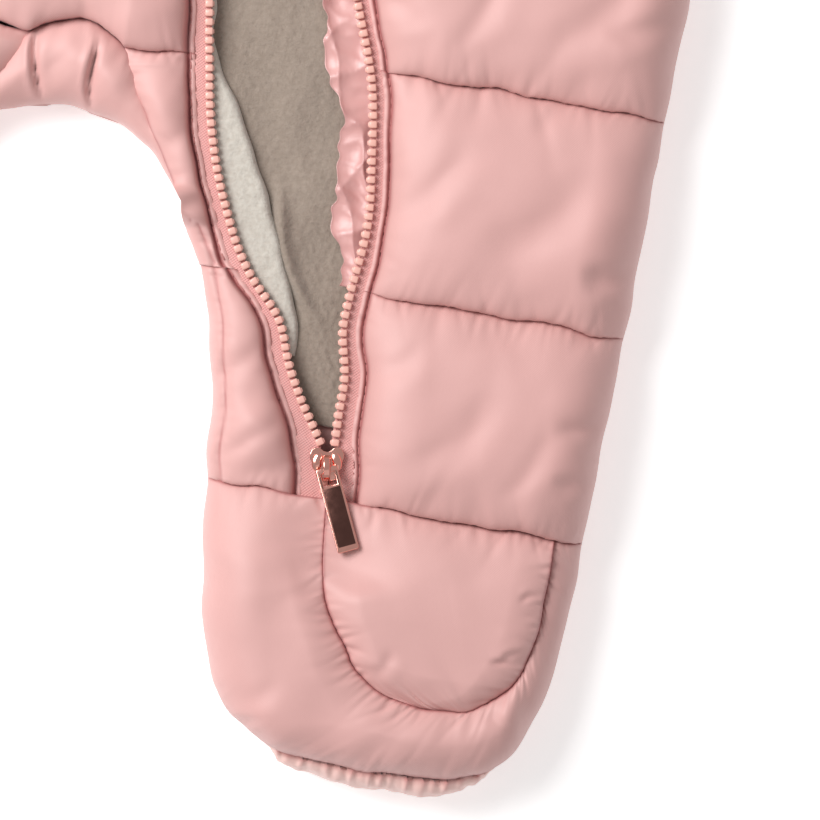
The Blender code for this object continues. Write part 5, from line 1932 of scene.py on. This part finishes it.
    def bar_profile(self, inset: float, corner: float) -> list[tuple[float, float]]:
        """Return the bar's plan outline, drawn in by an inset, with rounded corners."""
        near, far = self.beyond_pivot - inset, self.beyond_pivot - self.pull_length + inset
        half = 0.5 * self.pull_width - inset
        outline = []
        side, top, foot = half - corner, near - corner, far + corner
        for quarter, (cx, cy) in enumerate(((side, top), (-side, top), (-side, foot), (side, foot))):
            for k in range(6):
                angle = math.radians(90.0 * quarter + 18.0 * k)
                outline.append((cx + corner * math.cos(angle), cy + corner * math.sin(angle)))
        return outline

    def build_pull(self, wardrobe: Wardrobe) -> list[Piece]:
        """Build the pull: a rose rim frame with a window, and on each face a plate of darkened metal that
        paints a dark reflection.
        """
        pivot_z = self.top + 0.5 * self.eye[1]
        x = self.at[0] + self.pivot_shift * math.sin(self.turn)
        y = self.at[1] - self.pivot_shift * math.cos(self.turn)
        place = Matrix.Translation(Vector((x * MM, (y - MIDDLE_Y) * MM, pivot_z * MM)))
        matrix = place @ Matrix.Rotation(self.pull_turn, 4, "Z") @ Matrix.Rotation(-self.pull_rise, 4, "X")
        half_t = 0.5 * self.pull_thick
        width, near, far = self.window
        bm = bmesh.new()
        outline = self.bar_profile(0.0, 0.9)
        hole = [(0.5 * width, -near), (-0.5 * width, -near), (-0.5 * width, -far), (0.5 * width, -far)]
        self.frame(bm, outline, hole, -half_t, half_t)
        frame_piece = self.finish_piece(bm, "pull_bar_frame", wardrobe.rose, matrix, 0.3)
        register(frame_piece, PULL, nodes=("zip_pull",))
        inset, end_inset = 0.75, 2.0
        top_y = -far - 0.9
        low_y = self.beyond_pivot - self.pull_length + end_inset
        side = 0.5 * self.pull_width - inset
        # painted reflection: the face plates and the window cheeks use the darkened metal
        bm = bmesh.new()
        for level in (half_t, -half_t):
            plate = [(side, top_y), (-side, top_y), (-side, low_y), (side, low_y)]
            self.prism(bm, plate, level - 0.12, level + 0.12)
        plates = self.finish_piece(bm, "pull_bar_plates", wardrobe.mirror, matrix, 0.08)
        register(plates, PULL)
        bm = bmesh.new()
        strip = 0.5 * width + 0.42
        for level in (half_t, -half_t):
            for sign in (-1.0, 1.0):
                x0, x1 = sorted((sign * strip, sign * side))
                profile = [(x1, -near), (x0, -near), (x0, top_y + 0.2), (x1, top_y + 0.2)]
                self.prism(bm, profile, level - 0.12, level + 0.12)
        cheeks = self.finish_piece(bm, "pull_window_cheeks", wardrobe.mirror, matrix, 0.06)
        register(cheeks, PULL)
        return [frame_piece, plates, cheeks]

    def frame(
        self, bm: bmesh.types.BMesh, outline: Outline, hole: Outline,
        low: float, high: float,
    ) -> None:
        """Add a slab with a rectangular hole to a bmesh.

        Args:
            bm: The mesh to add to.
            outline: Outer outline, anticlockwise.
            hole: The hole's corners, anticlockwise.
            low: Lower level.
            high: Upper level.
        """
        rings = []
        for level in (low, high):
            rings.append((
                [bm.verts.new((x, y, level)) for x, y in outline],
                [bm.verts.new((x, y, level)) for x, y in hole],
            ))
        for outer, inner in rings:
            edges = [bm.edges.new((ring[k], ring[(k + 1) % len(ring)])) for ring in (outer, inner)
                     for k in range(len(ring))]
            bmesh.ops.triangle_fill(bm, use_beauty=True, edges=edges)
        for ring_low, ring_high in zip(rings[0], rings[1]):
            for k in range(len(ring_low)):
                n = (k + 1) % len(ring_low)
                bm.faces.new((ring_low[k], ring_low[n], ring_high[n], ring_high[k]))
        bmesh.ops.dissolve_limit(bm, angle_limit=0.01, verts=bm.verts, edges=bm.edges)


# ---------------------------------------------------------------- studio
@dataclass
class Studio:
    """Pale floor, soft light from the upper left and the camera straight above the left leg."""

    aim: tuple[float, float] = (146.6, -90.4)
    aim_height: float = 34.0
    turn: float = math.radians(10.0)
    distance: float = 1.5
    frame_width: float = 306.0
    sensor: float = 36.0

    def build(self) -> None:
        """Build the floor, the lights, the world and the camera."""
        self.build_floor()
        target = Vector((self.aim[0] * MM, (self.aim[1] - MIDDLE_Y) * MM, self.aim_height * MM))
        spin = Matrix.Rotation(self.turn, 3, "Z")
        self.build_light("key_softbox", target + spin @ Vector((-0.72, 0.46, 0.92)), target, 0.7, 16.8)
        self.build_light("fill_softbox", target + spin @ Vector((0.1, -0.9, 1.4)), target, 1.2, 1.0)
        self.build_world()
        self.build_camera(target)

    def build_floor(self) -> None:
        """Build the pale floor under the suit."""
        half = 4.0
        mesh = bpy.data.meshes.new("studio_floor")
        mesh.from_pydata([(-half, -half, 0.0), (half, -half, 0.0), (half, half, 0.0), (-half, half, 0.0)], [],
                         [(0, 1, 2, 3)])
        material, tree, shader = new_material("pale_floor")
        shader.inputs["Base Color"].default_value = (0.93, 0.93, 0.93, 1.0)
        shader.inputs["Roughness"].default_value = 0.9
        shader.inputs["Specular IOR Level"].default_value = 0.1
        shader.inputs["Emission Color"].default_value = (1.0, 1.0, 1.0, 1.0)
        shader.inputs["Emission Strength"].default_value = 0.42
        mesh.materials.append(material)
        floor = bpy.data.objects.new("studio_floor", mesh)
        floor.location.z = -0.0004
        bpy.context.scene.collection.objects.link(floor)

    def build_light(self, name: str, at: Vector, target: Vector, size: float, power: float) -> None:
        """Build a square soft light that faces the target."""
        light = bpy.data.lights.new(name, "AREA")
        light.size = size
        light.energy = power
        lamp = bpy.data.objects.new(name, light)
        lamp.location = at
        lamp.rotation_euler = (target - at).to_track_quat("-Z", "Y").to_euler()
        bpy.context.scene.collection.objects.link(lamp)

    def build_world(self) -> None:
        """Build the white surroundings that fill the shadows."""
        world = bpy.data.worlds.new("white_surroundings")
        world.use_nodes = True
        back = world.node_tree.nodes["Background"]
        back.inputs["Color"].default_value = (1.0, 0.99, 0.985, 1.0)
        back.inputs["Strength"].default_value = 0.40
        bpy.context.scene.world = world

    def build_camera(self, target: Vector) -> None:
        """Build the camera, straight above the aim and turned with the suit's leg."""
        data = bpy.data.cameras.new("top_camera")
        data.sensor_width = self.sensor
        data.lens = self.sensor * self.distance / (self.frame_width * MM)
        camera = bpy.data.objects.new("top_camera", data)
        camera.location = target + Vector((0.0, 0.0, self.distance))
        camera.rotation_euler = (0.0, 0.0, self.turn)
        bpy.context.scene.collection.objects.link(camera)
        bpy.context.scene.camera = camera
        bpy.context.scene.view_settings.view_transform = "Standard"


@dataclass
class Snowsuit:
    """The whole suit, built from the lining outwards."""

    pieces: dict[str, Piece] = field(default_factory=dict)

    def build(self, wardrobe: Wardrobe) -> None:
        """Build every sub-assembly in order."""
        self.pieces.update(Torso().build(wardrobe))
        self.pieces.update(Legs().build(wardrobe))
        folds = (
            Crease((-15.5, 27.0), (-9.5, 0.0), 7.0, 1.3, 0.25, True),
            Crease((8.5, 25.0), (9.5, -1.0), 6.5, 1.2, 0.25, True),
        )
        gusset = Gusset("crotch_gusset_wall", "crotch_gusset", Relief(31, 18.0, 0.9, 20.0, creases=folds))
        self.pieces[gusset.name] = gusset.build(wardrobe.shell)
        for side, mirror, seed in (("left", False, 101), ("right", True, 121)):
            self.pieces.update(Foot(side, mirror, seed).build(wardrobe))
            self.pieces.update(Sleeve(side, mirror, seed + 10).build(wardrobe))
        self.pieces.update(Collar().build(wardrobe))
        self.build_opening(wardrobe)

    def build_opening(self, wardrobe: Wardrobe) -> None:
        """Build what the open front shows: linings, facing, zip, slider and pull."""
        linings, closure, slider = Linings(), Zip(), Slider()
        back = linings.build_back(wardrobe, self.pieces["back_torso_wall"])
        linings.build_strip(wardrobe, back)
        Facing().build(wardrobe, back)
        inner_walls = [self.pieces["front_torso_right_wall"], self.pieces["front_leg_inner_wall"]]
        outer_walls = [self.pieces["front_torso_left_wall"], self.pieces["front_leg_outer_wall"]]
        closure.build_tape("inner", 1.0, PATTERN.inner_edge, PATTERN.inner_teeth, wardrobe, inner_walls[1])
        closure.build_tape("outer", -1.0, PATTERN.outer_edge, PATTERN.outer_teeth, wardrobe, outer_walls[1])
        enter = (slider.at[0] - 0.9, slider.at[1] + 0.5 * slider.length + 0.4)
        closure.build_teeth("inner", PATTERN.inner_teeth, (enter[0] - 2.6, enter[1]), wardrobe)
        closure.build_teeth("outer", PATTERN.outer_teeth, (enter[0] + 2.6, enter[1]), wardrobe)
        closure.build_chain(wardrobe)
        closure.build_stitches("inner_topstitching", inner_walls, PATTERN.inner_edge, -1.0, wardrobe)
        closure.build_stitches("outer_topstitching", outer_walls, PATTERN.outer_edge, 1.0, wardrobe)
        slider.build_body(wardrobe)
        slider.build_pull(wardrobe)


def main() -> None:
    """Build the finishes, the suit and the studio."""
    logging.basicConfig(level=logging.INFO, format="%(name)s: %(message)s")
    wardrobe = Wardrobe()
    wardrobe.build()
    Snowsuit().build(wardrobe)
    Studio().build()
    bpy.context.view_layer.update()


if __name__ == "__main__":
    main()
